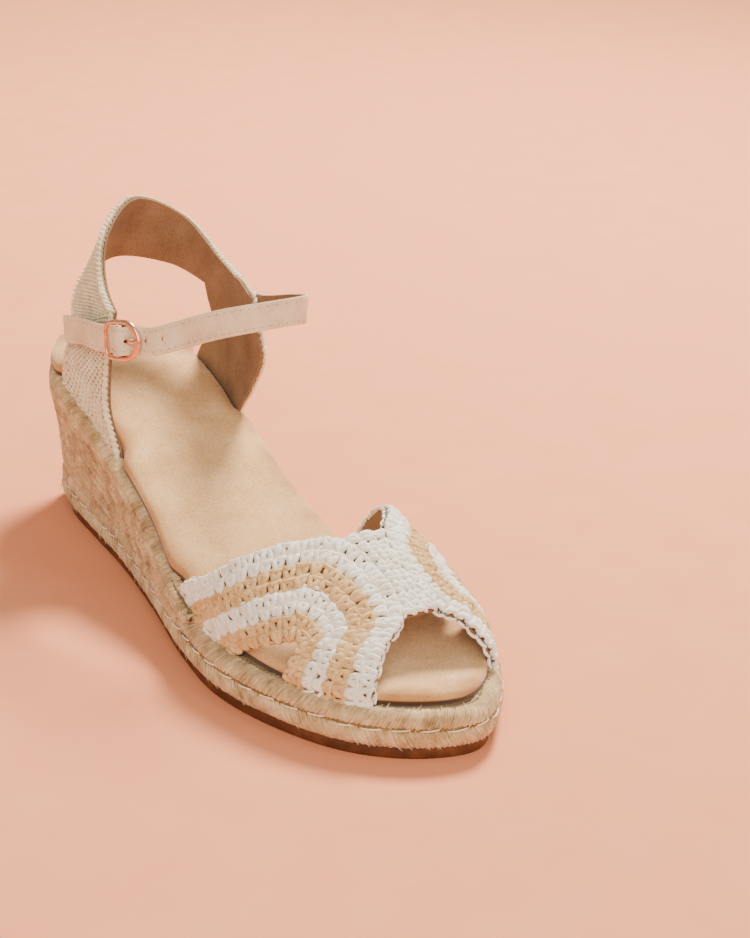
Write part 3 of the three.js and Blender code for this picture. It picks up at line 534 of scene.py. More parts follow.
# footbed, its edge rolled over the foam beneath
top = FOOTBED_RISE
FOOTBED_SECTIONS = [
    (None, 0.2), (0.6, 0.2), (1.6, 0.25), (1.1, 0.7), (1.0, 1.6), (1.05, top - 2.3), (1.35, top - 1.35),
    (2.0, top - 0.65), (3.0, top - 0.2), (0.84, top), (0.7, top), (0.5, top), (0.3, top), (0.12, top),
    (None, top)]
TURNED_SIDE = (2, 3, 4)
footbed_part = pillow(cover_edge, 0.0, [(inset, above_edge(rise)) for inset, rise in FOOTBED_SECTIONS],
                      SOLE_SPINE, 360)
ring = footbed_part["ring"]
spray_and_shade_share = np.array([min(inset or 0, 1) for inset, _ in FOOTBED_SECTIONS])[ring]
# the turned side is pushed past 1, which the finish paints dark as the shadow of the gap by the jute
spray_and_shade_share = spray_and_shade_share + 0.5 * np.isin(ring, TURNED_SIDE)
footbed = build("footbed_cushion", [footbed_part], [footbed_suede])
footbed.data.attributes.new("edge", "FLOAT", "POINT").data.foreach_set("value", spray_and_shade_share)
fit(footbed, "sandal", "suede", "footbed_cover")


def wrap_edge(u, z):
    """x and s of the outer face of the jute wrapping at outline position u and height z."""
    s = footbed_edge(u)[1]
    xt, st = footbed_edge(u, mix(1, 5.4, step(s, 10, 34)))
    xl, sl = outsole_edge(u, FOXING_PROUD)
    q = np.clip((z - FOXING_TOP) / np.maximum(edge_height(s) - FOXING_TOP, 4), 0, 1)
    return mix(xl, xt, q), mix(sl, st, q)


PITCH = (HEEL_EDGE - FOXING_TOP - GAP) / BRAID_ROWS
THINNEST_ROW = 2.2
TOP_CURL = 4.2


def row_top(row, u):
    return edge_height(footbed_edge(u)[1]) - (row - 1) * PITCH


def row_ends(row):
    """Where a braid runs out under the foxing, on the lateral and the medial side."""
    ends = []
    for sign in (-1, 1):
        u = np.arange(0.03, 0.4, 0.002)
        hidden = row_top(row, sign * u) <= FOXING_TOP + THINNEST_ROW
        ends.append(sign * u[hidden.argmax() if hidden.any() else -1])
    return ends


def row_surface(row):
    """The face of one braid of the stack: at(u, h, d), h up from its middle as a share of half its height.
    The top braid curls in under the footbed."""
    def at(u, h, d):
        high = row_top(row, u)
        low = np.maximum(high - PITCH, FOXING_TOP)
        z = mix(low, high + (0.5 if row == 1 else 0), (h + 1) / 2)
        x, s = wrap_edge(u, z)
        if row == 1:
            d = d - TOP_CURL * step(h, 0.1, 1)
        e = 0.002
        x0, s0 = wrap_edge(u - e, z)
        x1, s1 = wrap_edge(u + e, z)
        t = unit(np.stack([x1 - x0, s1 - s0], -1))
        return place(x - t[:, 1] * d, s + t[:, 0] * d, z)
    return at


FOXING_RIM = curve([(1.0, 4.3), (1.6, 6.8), (1.8, 9.8), (1.3, 13.0), (-1.2, 15.7), (-6.2, 16.4)])
FOXING_SIDE = curve([(1.0, 4.3), (1.6, 6.8), (1.8, 9.6), (1.8, 12.0), (1.7, 14.4), (1.2, 16.9)])


def foxing_surface(u, h, d):
    """The foxing's face, from its lower edge (h = -1) up its side (h = 1). Under the wedge it goes straight
    up, and round the forepart in over the rim."""
    q = (np.asarray(h) + 1) / 2
    w = step(edge_height(footbed_edge(u)[1]), 17.2, 24)[:, None]
    face = lambda k: mix(FOXING_RIM(k), FOXING_SIDE(k), w)
    p = face(q)
    t = unit(face(np.minimum(q + 0.01, 1)) - face(np.maximum(q - 0.01, 0)))
    x, s = outsole_edge(u, p[:, 0] + t[:, 1] * d)
    return place(x, s, p[:, 1] - t[:, 0] * d)


def lay_on(surface, u, h, d):
    """Points and outward directions on a surface for arrays of any one shape."""
    u, h, d = np.broadcast_arrays(u, h, d)
    u1, h1, d1 = (v.ravel().astype(float) for v in (u, h, d))
    p = surface(u1, h1, d1)
    out = unit(surface(u1, h1, d1 + 0.5) - p)
    return p.reshape(*u.shape, 3), out.reshape(*u.shape, 3)


def herringbone(surface, u0, u1, pitch, lean, thick, bulge, sink):
    """The face of a flat jute plait: two columns of slanted fibre bundles, which meet along its middle and
    tuck under at its edges. pitch is from bundle to bundle and lean how far each runs on, in mm; bulge is
    how far a column stands out between its sunk edges. A plait that runs all round has no ends to stop at."""
    t, _ = evenly(lambda t: surface(mix(u0, u1, t), 0 * t, 0 * t), pitch, 1500)
    u = mix(u0, u1, (t[1:] + t[:-1]) / 2)[:, None]
    ends = (-1, 2) if abs(u1 - u0) == 1 else (min(u0, u1), max(u0, u1))
    per_mm = np.gradient(u[:, 0])[:, None] / pitch
    share = np.linspace(0, 1, 9)[None, :]
    count = len(u)
    parts = []
    for sign in (-1, 1):
        h = sign * mix(0.04, 0.95, share) + rng.normal(0, 0.015, (count, 1))
        run = lean * share ** 0.85 + rng.normal(0, 0.07 * pitch, (count, 1))
        d = (bulge + rng.normal(0, 0.06, (count, 1))) * np.sin(math.pi * share) ** 0.6 - sink
        paths, outs = lay_on(surface, np.clip(u + run * per_mm, *ends), h, d)
        swell = rng.uniform(0.9, 1.12, (count, 1)) * (0.7 + 0.35 * np.sin(math.pi * share))
        parts.append(strands(paths, outs, 0.62 * pitch * swell, thick * swell))
    return parts


def backing(surface, u0, u1, half, sink):
    """A flat strip behind a plait, which closes the gaps between its bundles with jute painted dark as shade.
    """
    mid = lambda t: surface(mix(u0, u1, t), 0 * t, 0 * t)
    t, _ = evenly(mid, 2.5)
    paths, outs = lay_on(surface, mix(u0, u1, t)[None, :], 0.0, -sink)
    low, _ = lay_on(surface, mix(u0, u1, t)[None, :], -1.0, 0.0)
    high, _ = lay_on(surface, mix(u0, u1, t)[None, :], 1.0, 0.0)
    wide = np.minimum(half, np.linalg.norm(high - low, axis=-1) / 2) - 0.15
    return strands(paths, outs, wide, 0.5, sides=12, square=0.6, finish=1)


ONCE_ROUND = 640  # about how long the outlines are
HAIR_STANDS = 0.55


def loose_fibres(surface, u0, u1, count, lean):
    """Thin hairs along a plait's bundles, the ends of some standing off."""
    u = rng.uniform(u0, u1, (count, 1))
    side = rng.choice((-1.0, 1.0), (count, 1))
    near = rng.uniform(0, 0.55, (count, 1))
    t = np.linspace(0, 1, 5)[None, :]
    reach = rng.uniform(0.25, 0.45, (count, 1))
    run = (lean * reach + rng.normal(0, 0.5, (count, 1))) / ONCE_ROUND
    lift = np.maximum(rng.normal(0, 0.5, (count, 1)), 0)
    paths, outs = lay_on(surface, np.clip(u + run * t, min(u0, u1), max(u0, u1)),
                         np.clip(side * (near + reach * t), -1, 1), HAIR_STANDS + lift * t * t)
    return strands(paths, outs, 0.09, 0.07, sides=3, finish=2)


JUTE = [jute, jute_shade, jute_hair]
TOP_ROW_NARROWS = 1.6
for row in range(1, BRAID_ROWS + 1):
    face = row_surface(row)
    u0, u1 = row_ends(row)
    parts = herringbone(face, u0, u1, pitch=2.5, lean=3.0, thick=0.7, bulge=1.5, sink=1.3)
    parts.append(backing(face, u0, u1, half=PITCH / 2 - (TOP_ROW_NARROWS if row == 1 else 0), sink=2.1))
    parts.append(loose_fibres(face, u0, u1, count=220, lean=5))
    fit(build(f"jute_braid_{row}", parts, JUTE), "sandal", "jute", f"wedge_braid_{row}")

parts = herringbone(foxing_surface, 0.0, 1.0, pitch=1.8, lean=4.0, thick=0.6, bulge=1.05, sink=0.85)
for k in (-0.5, 0.5):
    column = lambda u, h, d: foxing_surface(u, 0.5 * h + k, d)
    parts.append(backing(column, 0.0, 1.0, half=4.2, sink=1.5))
parts.append(loose_fibres(foxing_surface, 0.0, 1.0, count=900, lean=7))
fit(build("foxing_jute_plait", parts, JUTE), "sandal", "jute", "foxing_braid")

# running stitch along the middle of the foxing: long stitches outside, short ones within
STITCH_REPEAT = 9.6
STITCH_DIPS = (-1.6, -0.3, 0.2, 0.35, 0.4, 0.35, 0.2, -0.3, -1.6)
t, _ = evenly(lambda t: foxing_surface(t, 0 * t, 0 * t), STITCH_REPEAT)
first = t[:-1, None]
share = np.diff(t)[:, None] * np.linspace(0, 0.9, len(STITCH_DIPS))[None, :]
sway = rng.normal(0, 0.03, (len(first), 1))
slant = 0.05 * np.linspace(-1, 1, len(STITCH_DIPS))[None, :]
paths, outs = lay_on(foxing_surface, first + share, sway + slant, np.array(STITCH_DIPS)[None, :])
stitches = build("foxing_running_stitch", [strands(paths, outs, 0.3, 0.26)], [stitching])
fit(stitches, "sandal", "running_thread", "foxing_thread")

# ---------------------------------------------------------------- crocheted vamp
def arch(angle, s):
    """Point of the vamp's arch, the angle running from the lateral foot (0) to the medial foot (pi)."""
    lateral, medial = foot_span(s)
    phi = np.clip(angle, 0, math.pi)
    under = np.maximum(np.maximum(-angle, angle - math.pi), 0)
    rise = vamp_height(s) * np.sin(phi) ** 0.84 * (1 - 0.24 * np.cos(phi))
    return place(mix(lateral, medial, (1 - np.cos(phi)) / 2), s, edge_height(s) + rise - under * 10)


# edges of each half of the vamp, as (angle, s) pairs from its rear foot round to its front foot: the outer
# edge, and the inner one round the gap at the side
HALVES = {
    "lateral": (
        [(-0.3, 141), (0, 142), (0.37, 156), (0.73, 164.5), (1.0, 170.5), (1.27, 176.5), (1.5, 182.5),
         (1.62, 200), (1.5, 216.5), (1.16, 222), (0.8, 227), (0.45, 230), (0, 231.5), (-0.3, 231.5)],
        [(-0.3, 182), (0, 183), (0.15, 188), (0.28, 193), (0.4, 197), (0.52, 200.5), (0.57, 202.5),
         (0.58, 203.5), (0.56, 204.5), (0.46, 204.8), (0.34, 205), (0.2, 205), (0, 205), (-0.3, 205)]),
    "medial": (
        [(-0.3, 144), (0, 145.5), (0.22, 149.3), (0.48, 158), (0.74, 167.5), (1.0, 177), (1.2, 184.5),
         (1.32, 200), (1.22, 217), (1.0, 221), (0.74, 226), (0.42, 229), (0, 229.5), (-0.3, 229.5)],
        [(-0.3, 182), (0, 183), (0.15, 188), (0.28, 193), (0.38, 196.5), (0.48, 199.5), (0.52, 201),
         (0.53, 202), (0.51, 203), (0.43, 203.5), (0.32, 204), (0.2, 204), (0, 204), (-0.3, 204)]),
}
ARC = 25  # length of one unit of angle
BRIDGE_ENDS = (8 / 13, 6 / 13)  # the outer edges' shares between which the bridge joins them
BRIDGE_GAP = 0.013


def half_edge(pairs):
    return curve([(angle * ARC, s) for angle, s in pairs])


def proud(surface, sign=1):
    """Adds a third coordinate to a surface: millimetres out along its normal."""
    def at(a, b, d):
        e = 2e-3
        da = surface(np.minimum(a + e, 1), b) - surface(np.maximum(a - e, 0), b)
        db = surface(a, np.minimum(b + e, 1)) - surface(a, np.maximum(b - e, 0))
        return surface(a, b) + unit(np.cross(da, db)) * (sign * np.asarray(d))[..., None]
    return at


def vamp_half(side):
    outer, inner = (half_edge(pairs) for pairs in HALVES[side])

    def at(a, b):
        p = mix(inner(a), outer(a), np.atleast_1d(b)[:, None])
        angle = p[:, 0] / ARC
        return arch(angle if side == "lateral" else math.pi - angle, p[:, 1])
    return proud(at, 1 if side == "lateral" else -1)


def vamp_bridge(a, b):
    ends = []
    for side in ("lateral", "medial"):
        p = half_edge(HALVES[side][0])(mix(*BRIDGE_ENDS, b))
        angle = p[:, 0] / ARC + BRIDGE_GAP
        ends.append((angle if side == "lateral" else math.pi - angle, p[:, 1]))
    (al, sl), (am, sm) = ends
    return arch(mix(al, am, a), mix(sl, sm, a))


# centre lines of one crochet stitch's yarn: across in stitches, up in rows, out in mm
LEG = [(0.02, -0.24, 0.3), (-0.1, 0.06, 1.0), (-0.22, 0.38, 1.35), (-0.29, 0.72, 1.25), (-0.22, 1.0, 0.5)]
FRONT_LOOP = [(-0.52, 0.96, 0.5), (-0.22, 0.8, 1.4), (0.12, 0.78, 1.6), (0.42, 0.9, 1.25),
              (0.62, 1.08, 0.4)]
BACK_LOOP = [(-0.56, 1.1, 0.3), (-0.2, 1.14, 0.95), (0.15, 1.12, 1.05), (0.5, 1.02, 0.5)]
BASE_BAR = [(-0.5, 0.12, 0.2), (-0.15, 0.2, 0.75), (0.2, 0.2, 0.8), (0.5, 0.1, 0.2)]
OTHER_LEG = [(-x, y, z) for x, y, z in LEG]
YARN_LINES = [(LEG, 1.08), (OTHER_LEG, 1.08), (FRONT_LOOP, 0.84), (BACK_LOOP, 0.7), (BASE_BAR, 0.62)]
STITCH_PITCH = 4.5


def crochet_row(surface, b0, b1, finish, flip=False):
    """One row of stitches between two values of b. flip turns it, as every other row is worked back."""
    mid = lambda t: surface(t, 0 * t + (b0 + b1) / 2, 0 * t)
    fine = np.linspace(0, 1, 500)
    gone = np.r_[0, np.cumsum(np.linalg.norm(np.diff(mid(fine), axis=0), axis=1))]
    count = max(int(round(gone[-1] / STITCH_PITCH)), 3)
    parts = []
    for line, girth in YARN_LINES:
        x, y, z = curve(line)(np.linspace(0, 1, 8)).T
        if flip:
            x = -x
        wobble = rng.normal(0, 1, (3, count, 1)) * np.array([0.05, 0.045, 0.14])[:, None, None]
        at = (np.arange(count)[:, None] + 0.5 + x[None, :] + wobble[0]) / count * gone[-1]
        a = np.interp(at, gone, fine)
        b = np.clip(mix(b0, b1, y[None, :] + wobble[1]), 0, 1.03)
        paths, outs = lay_on(surface, a, b, z[None, :] + wobble[2])
        swell = girth * (0.72 + 0.34 * np.sin(np.linspace(0.1, math.pi - 0.1, 8)))[None, :]
        swell = swell * rng.uniform(0.88, 1.1, (count, 1)) * rng.uniform(0.88, 1.12, (count, 8))
        parts.append(strands(paths, outs, swell, swell * 0.86, sides=9, finish=finish))
    return parts


VAMP_ROWS = 8
for side in ("lateral", "medial"):
    face = vamp_half(side)
    parts = []
    for row in range(VAMP_ROWS):
        stripe = 1 if row % 4 < 2 else 0
        parts += crochet_row(face, row / VAMP_ROWS, (row + 1) / VAMP_ROWS, stripe, flip=row % 2 == 1)
    fit(build(f"crochet_{side}", parts, [ivory, sand]), "sandal", "crochet", f"vamp_crochet_{side}")
    cloth = build(f"vamp_suede_{side}", [skin(face, 90, 24, *LINING)], [lining_suede])
    fit(cloth, "sandal", "lining", f"vamp_lining_{side}")

BRIDGE_ROWS = 3
face = proud(lambda a, b: vamp_bridge(b, a), -1)
parts = []
for row in range(BRIDGE_ROWS):
    parts += crochet_row(face, row / BRIDGE_ROWS, (row + 1) / BRIDGE_ROWS, 0, flip=row % 2 == 1)
fit(build("crochet_bridge", parts, [ivory]), "sandal", "crochet", "vamp_crochet_bridge")
cloth = build("vamp_suede_bridge", [skin(proud(vamp_bridge), 10, 20, *LINING)], [lining_suede])
fit(cloth, "sandal", "lining", "vamp_lining_bridge")

# ---------------------------------------------------------------- quarters and heel strap
band_low, band_high = curve(BAND_LOW), curve(BAND_HIGH)


def band(t, z):
    """Point of the band round the heel, from the lateral side (t = 0) to the medial side (t = 1)."""
    t, z = (v.astype(float) for v in np.broadcast_arrays(np.atleast_1d(t), np.atleast_1d(z)))
    q = ((z - BAND_LOW_Z) / (BAND_HIGH_Z - BAND_LOW_Z))[:, None]
    p = mix(band_low(t), band_high(t), q)
    past = np.maximum(np.maximum(-t, t - 1), 0) * 220
    return np.stack([p[:, 0] + CENTRE_X, p[:, 1] + BAND_Y - past, z], -1)


def net(rows):
    """Surface through a net of points, smooth both ways."""
    lines = [curve(row) for row in rows]
    return lambda a, b: curve([line(a) for line in lines])(b)


# t of each seam between heel strap and quarter, at the hem and at the rim
SEAM = {"lateral": (0.235, 0.105), "medial": (0.775, 0.9)}
SEAM_LAP = 0.003


def heel_strap(a, b):
    start = mix(*SEAM["lateral"], b) - SEAM_LAP
    end = mix(*SEAM["medial"], b) + SEAM_LAP
    t = mix(start, end, a)
    return band(t, mix(hem_height(t), rim_height(t), b))


def seam(side, b):
    t = mix(*SEAM[side], b)
    return band(t, mix(hem_height(t), rim_height(t), b))[0]


def footing(side, front, rear, drop):
    """Points along the footbed's edge from front to rear, below its top edge by drop."""
    points = []
    for s in np.linspace(front, rear, 4):
        lateral, medial = foot_span(s)
        points.append(place(lateral if side == "lateral" else medial, s, edge_height(s) - drop))
    return points


def band_points(*pairs):
    return [band(t, z)[0] for t, z in pairs]


LATERAL_LEG = net([
    footing("lateral", 81, 36, 3), footing("lateral", 81, 36, -1),
    band_points((0.05, 62), (0.115, 66), (0.18, 70), (0.24, 73)),
    band_points((0.075, 75), (0.13, 77), (0.185, 78), (0.238, 78)),
    band_points((0.09, 86), (0.14, 85), (0.19, 82.5), (0.236, 80)),
    [seam("lateral", b) for b in (1, 2 / 3, 1 / 3, 0)]])
MEDIAL_LEG = net([
    footing("medial", 71, 36, 3), footing("medial", 71, 36, -1),
    band_points((0.985, 65), (0.92, 69), (0.855, 72), (0.8, 73)),
    band_points((1.025, 80), (0.95, 81), (0.88, 81), (0.81, 81)),
    band_points((1.01, 91), (0.93, 92), (0.86, 90), (0.79, 87.5)),
    [band(0.99, rim_height(0.99))[0]] + [seam("medial", b) for b in (1, 0.5, 0)]])


# half sizes of a float of the weave, along and across in squares and out in mm, and how far out it lies
WEFT_FLOAT = ((0.95, 0.52, 0.7), 1.0)
WARP_FLOAT = ((0.34, 0.5, 0.4), 0.8)


def weave(surface, along, across):
    """Basketweave: cream weft lies over every other square, tan warp shows sunk in the squares between."""
    i, j = (v.ravel() for v in np.meshgrid(np.arange(along), np.arange(across), indexing="ij"))
    over = (i + j) % 2 == 0
    parts = []
    for own, finish, ((hx, hy, hz), depth) in ((over, 0, WEFT_FLOAT), (~over, 1, WARP_FLOAT)):
        count = int(own.sum())
        part, local = copies(pellet(), count, finish)
        soft = np.sign(local) * np.abs(local) ** 0.8
        tilt = rng.normal(0, 0.05, (count, 1))
        a = (i[own][:, None] + 0.5 + hx * soft[..., 0] + tilt * soft[..., 1]) / along
        b = (j[own][:, None] + 0.5 + hy * soft[..., 1]) / across
        d = depth + hz * soft[..., 2] + rng.normal(0, 0.06, (count, 1))
        within = [np.clip(v, 0, 1).ravel() for v in (a, b)]
        part["co"] = surface(*within, d.ravel()).reshape(*a.shape, 3)
        order = (0, 1, 2) if finish == 0 else (1, 0, 2)
        part["lay"] = local[..., order] * 1.3 + rng.uniform(0, 300, (count, 1, 1))
        parts.append(part)
    return parts


WHIP_SPACING = 2.2


def whipped(surface, line, inward):
    """Oversewn edge: slanted stitches round an edge. line(t) gives (a, b) on the edge, and inward is the
    step in (a, b) that leads off it into the cloth."""
    t, _ = evenly(lambda t: surface(*line(t), 0 * t), WHIP_SPACING)
    t = (t[1:] + t[:-1]) / 2
    slant = np.mean(np.diff(t))
    turn = np.linspace(-0.5, 0.5, 7)[None, :]
    a, b = line(np.clip(t[:, None] + slant * turn, 0, 1).ravel())
    a, b = a.reshape(len(t), -1), b.reshape(len(t), -1)
    tuck = np.abs(turn * 2) ** 2
    a, b = a + inward[0] * tuck, b + inward[1] * tuck
    rise = 0.9 + 2.0 * turn
    paths, _ = lay_on(surface, np.clip(a, 0, 1), np.clip(b, 0, 1), rise)
    deeper = (np.clip(v - way * (tuck - 1), 0, 1) for v, way in ((a, inward[0]), (b, inward[1])))
    base, _ = lay_on(surface, *deeper, rise)
    off = unit(paths - base + 1e-9)
    rim = paths - off * 0.6 * (1 - tuck)[..., None]
    return strands(rim, off * -1, 0.95, 0.6)


WEAVE = [weft, warp]
WEAVE_GROUND = (0.1, 0.7)
strap_face = proud(heel_strap, -1)
parts = weave(strap_face, 128, 18) + [skin(strap_face, 90, 6, *WEAVE_GROUND, finish=1)]
for b, inward in ((1.0, -0.06), (0.0, 0.06)):
    parts.append(whipped(strap_face, lambda t: (t, 0 * t + b), (0, inward)))
fit(build("heel_strap_basketweave", parts, WEAVE), "sandal", "basketweave", "heel_strap")
cloth = build("heel_strap_suede", [skin(strap_face, 110, 8, LINING[0] - 0.1, LINING[1] - 0.1)],
              [lining_suede])
fit(cloth, "sandal", "lining", "heel_strap_lining")

for side, leg, sign, along, across in (("lateral", LATERAL_LEG, -1, 30, 30),
                                       ("medial", MEDIAL_LEG, 1, 26, 32)):
    face = proud(leg, sign)
    parts = weave(face, along, across) + [skin(face, 24, 30, *WEAVE_GROUND, finish=1)]
    for a, inward in ((0.0, 0.045), (1.0, -0.045)):
        parts.append(whipped(face, lambda t: (0 * t + a, t), (inward, 0)))
    fit(build(f"quarter_{side}_basketweave", parts, WEAVE), "sandal", "basketweave", f"quarter_{side}")
    fit(build(f"quarter_{side}_suede", [skin(face, 30, 40, *LINING)], [lining_suede]), "sandal", "lining",
        f"quarter_{side}_lining")

# ---------------------------------------------------------------- ankle strap and buckle
def at_mm(x, y, z):
    return np.array([x + CENTRE_X, y + BAND_Y, z])


def off_band(t, z, d):
    """Point off the outer face of the band by d."""
    e = 0.01
    along = band(t + e, z)[0] - band(t - e, z)[0]
    up = band(t, z + 1)[0] - band(t, z - 1)[0]
    return band(t, z)[0] + unit(np.cross(up, along)) * d


BUCKLE_AT = at_mm(-30.6, 39.2, 91.5)
forward = unit(np.array([0.36, -0.91, 0.2]))
bar_up = unit(np.cross(np.array([-0.93, -0.33, 0.12]), forward))
outward = unit(np.cross(forward, bar_up))


def on_buckle(f, n, w=0.0):
    """Point by the buckle's bar: f forward, n outward and w up along the bar."""
    return BUCKLE_AT + f * forward + w * bar_up + n * outward


STRAP_POINTS = [
    off_band(0.224, 82.3, 6.1), off_band(0.19, 84, 5.8), off_band(0.155, 86, 5.5), on_buckle(-12.5, -1.9),
    on_buckle(-7.8, -1.3), on_buckle(-4.2, -0.6), on_buckle(-2.9, 1), on_buckle(-1.7, 2.5), on_buckle(0, 3.1),
    on_buckle(1.7, 2.5), on_buckle(2.9, 1), on_buckle(4.2, -0.6), on_buckle(7.8, -1.3), on_buckle(12, -1.5),
    at_mm(-19.5, 20.5, 98.1), at_mm(-12.5, 6, 106), at_mm(-2.5, -5, 111.2), at_mm(10, -8.4, 112.9),
    at_mm(21, 2.2, 108.6), at_mm(28.5, 21, 101.8), off_band(1, 96, 4.3), off_band(0.93, 93.4, 3.6),
    off_band(0.87, 92.4, 3.4)]


def even_line(points, spacing):
    """Points at equal distances along a smooth line."""
    line = curve(points)
    t, length = evenly(line, spacing, 3000)
    return line(t), length


def leaning(points, up_at):
    """Outward directions of a ribbon whose width points the way that up_at(share of length) says."""
    along = unit(np.gradient(points, axis=0))
    up = np.stack([up_at(k) for k in np.linspace(0, 1, len(points))])
    up = unit(up - along * (up * along).sum(-1, keepdims=True))
    return unit(np.cross(along, up)), up


def strap_up(share):
    """Which way the strap's width points: along the bar by the buckle, and upright further on."""
    near = math.exp(-((share - 0.22) ** 2) / 0.02)
    return mix(OUT, bar_up, near)


LINE_STEP = 0.5
strap_line, strap_length = even_line(STRAP_POINTS, LINE_STEP)
strap_out, strap_across = leaning(strap_line, strap_up)
bar_share = np.argmin(np.linalg.norm(strap_line - on_buckle(0, 3.1), axis=1)) / (len(strap_line) - 1)


def ribbon(line, out, low, high, width):
    """A flat strip along a line, between two distances off it."""
    paths = (line + out * (low + high) / 2)[None]
    return strands(paths, out[None], width / 2, (high - low) / 2, sides=28, square=0.4)


def punched(obj, tools):
    """The piece with holes: round tools are cut from it."""
    cutter = build("cutter", tools, [])
    modifier = obj.modifiers.new("holes", "BOOLEAN")
    modifier.operation, modifier.object, modifier.solver = "DIFFERENCE", cutter, "EXACT"
    cut = bpy.data.meshes.new_from_object(obj.evaluated_get(bpy.context.evaluated_depsgraph_get()))
    obj.modifiers.clear()
    obj.data = cut
    bpy.data.objects.remove(cutter)
    return obj


HOLE_RADIUS = 0.85


def strap_pins():
    """Round pins across the strap where its prong holes are, the one on the prong a slot."""
    pins = []
    for k in (-1, 0, 1, 2):
        share = bar_share + (FIRST_HOLE + k * HOLE_PITCH) / strap_length
        i = int(round(share * (len(strap_line) - 1)))
        end = strap_out[i] * 4
        wide = HOLE_RADIUS * 2.4 if k == 0 else HOLE_RADIUS
        pins.append(strands(np.array([[strap_line[i] - end, strap_line[i], strap_line[i] + end]]),
                            np.broadcast_to(strap_across[i], (1, 3, 3)), wide, HOLE_RADIUS, sides=20))
    return pins


strap = build("ankle_strap_leather", [ribbon(strap_line, strap_out, 0.1, 0.95, STRAP_WIDTH)], [strap_leather])
fit(punched(strap, strap_pins()), "ankle_loop", "strap_leather", "ankle_strap")
under = build("ankle_strap_suede", [ribbon(strap_line, strap_out, -0.75, 0.0, STRAP_WIDTH - 0.3)],
              [lining_suede])
fit(punched(under, strap_pins()), "ankle_loop", "lining", "ankle_strap_lining")

# two rows of machine stitches near the strap's edges, their needle holes sunk, with painted shade in them
SEW_PITCH = 3.1
SEW_INSET = 1.5
starts = np.arange(10, len(strap_line) - 13, int(round(SEW_PITCH / LINE_STEP)))
forward_along = unit(np.gradient(strap_line, axis=0))
threads, holes = [], []
for edge_sign in (-1, 1):
    sideways = edge_sign * (STRAP_WIDTH / 2 - SEW_INSET)
    index = starts[:, None] + np.arange(5)[None, :]
    dip = np.array([0.7, 0.98, 1.05, 0.98, 0.7])[None, :, None]
    paths = strap_line[index] + strap_across[index] * sideways + strap_out[index] * dip
    threads.append(strands(paths, strap_out[index], 0.22, 0.16, sides=6))
    spots, local = copies(pellet(), len(starts), 1)
    i = starts[:, None]
    spots["co"] = ((strap_line[i - 1] + strap_across[i] * sideways + strap_out[i] * 0.93)
                   + strap_out[i] * local[..., 2:] * 0.09
                   + strap_across[i] * local[..., 1:2] * 0.22
                   + forward_along[i] * local[..., :1] * 0.28)
    spots["lay"] = spots["co"]
    holes.append(spots)
sewing = build("ankle_strap_stitches", threads + holes, [strap_leather, pinhole])
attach(sewing, "ankle_loop")

# the tab goes round the centre bar and back under the strap, with a slot for the prong
bend = [on_buckle(1.35 * math.cos(k), 1.35 * math.sin(k)) for k in (2.6, 1.5, 0.5, -0.5, -1.5)]
back_under = [on_buckle(-4, -2.6), on_buckle(-8, -3.4), off_band(0.1, 88.8, 3.6), off_band(0.125, 88, 3.35),
              off_band(0.145, 87.5, 3.3), off_band(0.17, 86.5, 3.3)]
tab_line, _ = even_line(bend + back_under, 0.4)
tab_out, _ = leaning(tab_line, lambda _: bar_up)
tab = build("buckle_tab_leather", [ribbon(tab_line, tab_out, -0.3, 0.3, TAB_WIDTH)], [strap_leather])
slot_line = np.array([[on_buckle(-2.2, 0.6), on_buckle(1, 0.6), on_buckle(4.2, 0.6)]])
slot_tool = strands(slot_line, np.broadcast_to(outward, (1, 3, 3)), 1.2, 4, sides=16, square=0.5)
fit(punched(tab, [slot_tool]), "ankle_loop", "strap_leather", "buckle_tab")

# D ring: half its height, its round and flat ends forward of the bar, and its rise off the bar
HALF, ROUND, FLAT, RISE = 6.55, 7.5, -7.2, 1.4
upper = [(FLAT, 3.9), (-6.1, HALF - 0.7), (-3.4, HALF), (0, HALF), (3.3, HALF - 0.45), (6.2, 3.9)]
d_ring = upper + [(ROUND, 0)] + [(f, -w) for f, w in upper[::-1]] + [(FLAT, 0)]
ring_line = curve([on_buckle(f, RISE, w) for f, w in d_ring], closed=True)
ring = ring_line(np.linspace(0, 1, 161))[None]
ring[0, -1] = ring[0, 0]
BAR = [(-HALF, RISE), (-5.9, 0.4), (-4.8, 0), (4.8, 0), (5.9, 0.4), (HALF, RISE)]
bar = curve([on_buckle(0, n, w) for w, n in BAR])(np.linspace(0, 1, 40))[None]
broad = step((ring - BUCKLE_AT) @ forward, -6.5, 6.5)
parts = [strands(ring, np.broadcast_to(outward, ring.shape), 0.72 + 0.5 * broad, 0.8, sides=18, square=0.8),
         strands(bar, np.broadcast_to(outward, bar.shape), 0.75, 0.75, sides=14)]
fit(build("buckle_frame_plated", parts, [rose_gold]), "buckle", "rose_gold", "buckle_frame")

PRONG_TIP = [(1.1, 1.0), (3.3, 1.9), (5.6, 3.0), (8.3, 3.2)]
PRONG_EYE = 1.5
tip = curve([on_buckle(f, n) for f, n in PRONG_TIP])(np.linspace(0, 1, 24))[None]
eye = np.stack([on_buckle(PRONG_EYE * math.cos(k), PRONG_EYE * math.sin(k))
                for k in np.linspace(0, 2 * math.pi, 33)])[None]
parts = [strands(tip, np.broadcast_to(outward, tip.shape), 0.78, 0.66, sides=14),
         strands(eye, np.broadcast_to(bar_up, eye.shape), 0.5, 0.5, sides=12)]
fit(build("buckle_prong_plated", parts, [rose_gold]), "prong", "rose_gold", "buckle_prong")

# ---------------------------------------------------------------- pieces inside the wedge
# pressed cork granules, grey-brown fibreboard and pale open-celled foam: all dull and speckled
cork = nap("cork_and_foam_block", "#8f6a45", "#b48a60", "#cda67c", fine=1.6, coarse=5, sheen=0)[0]
board = nap("fibreboard", "#94785a", "#a98a68", "#bb9d7c", fine=0.8, coarse=9, sheen=0)[0]
foam = nap("latex_foam", "#d9cab2", "#e9dcc8", "#f3eadb", fine=0.7, coarse=6, sheen=0)[0]
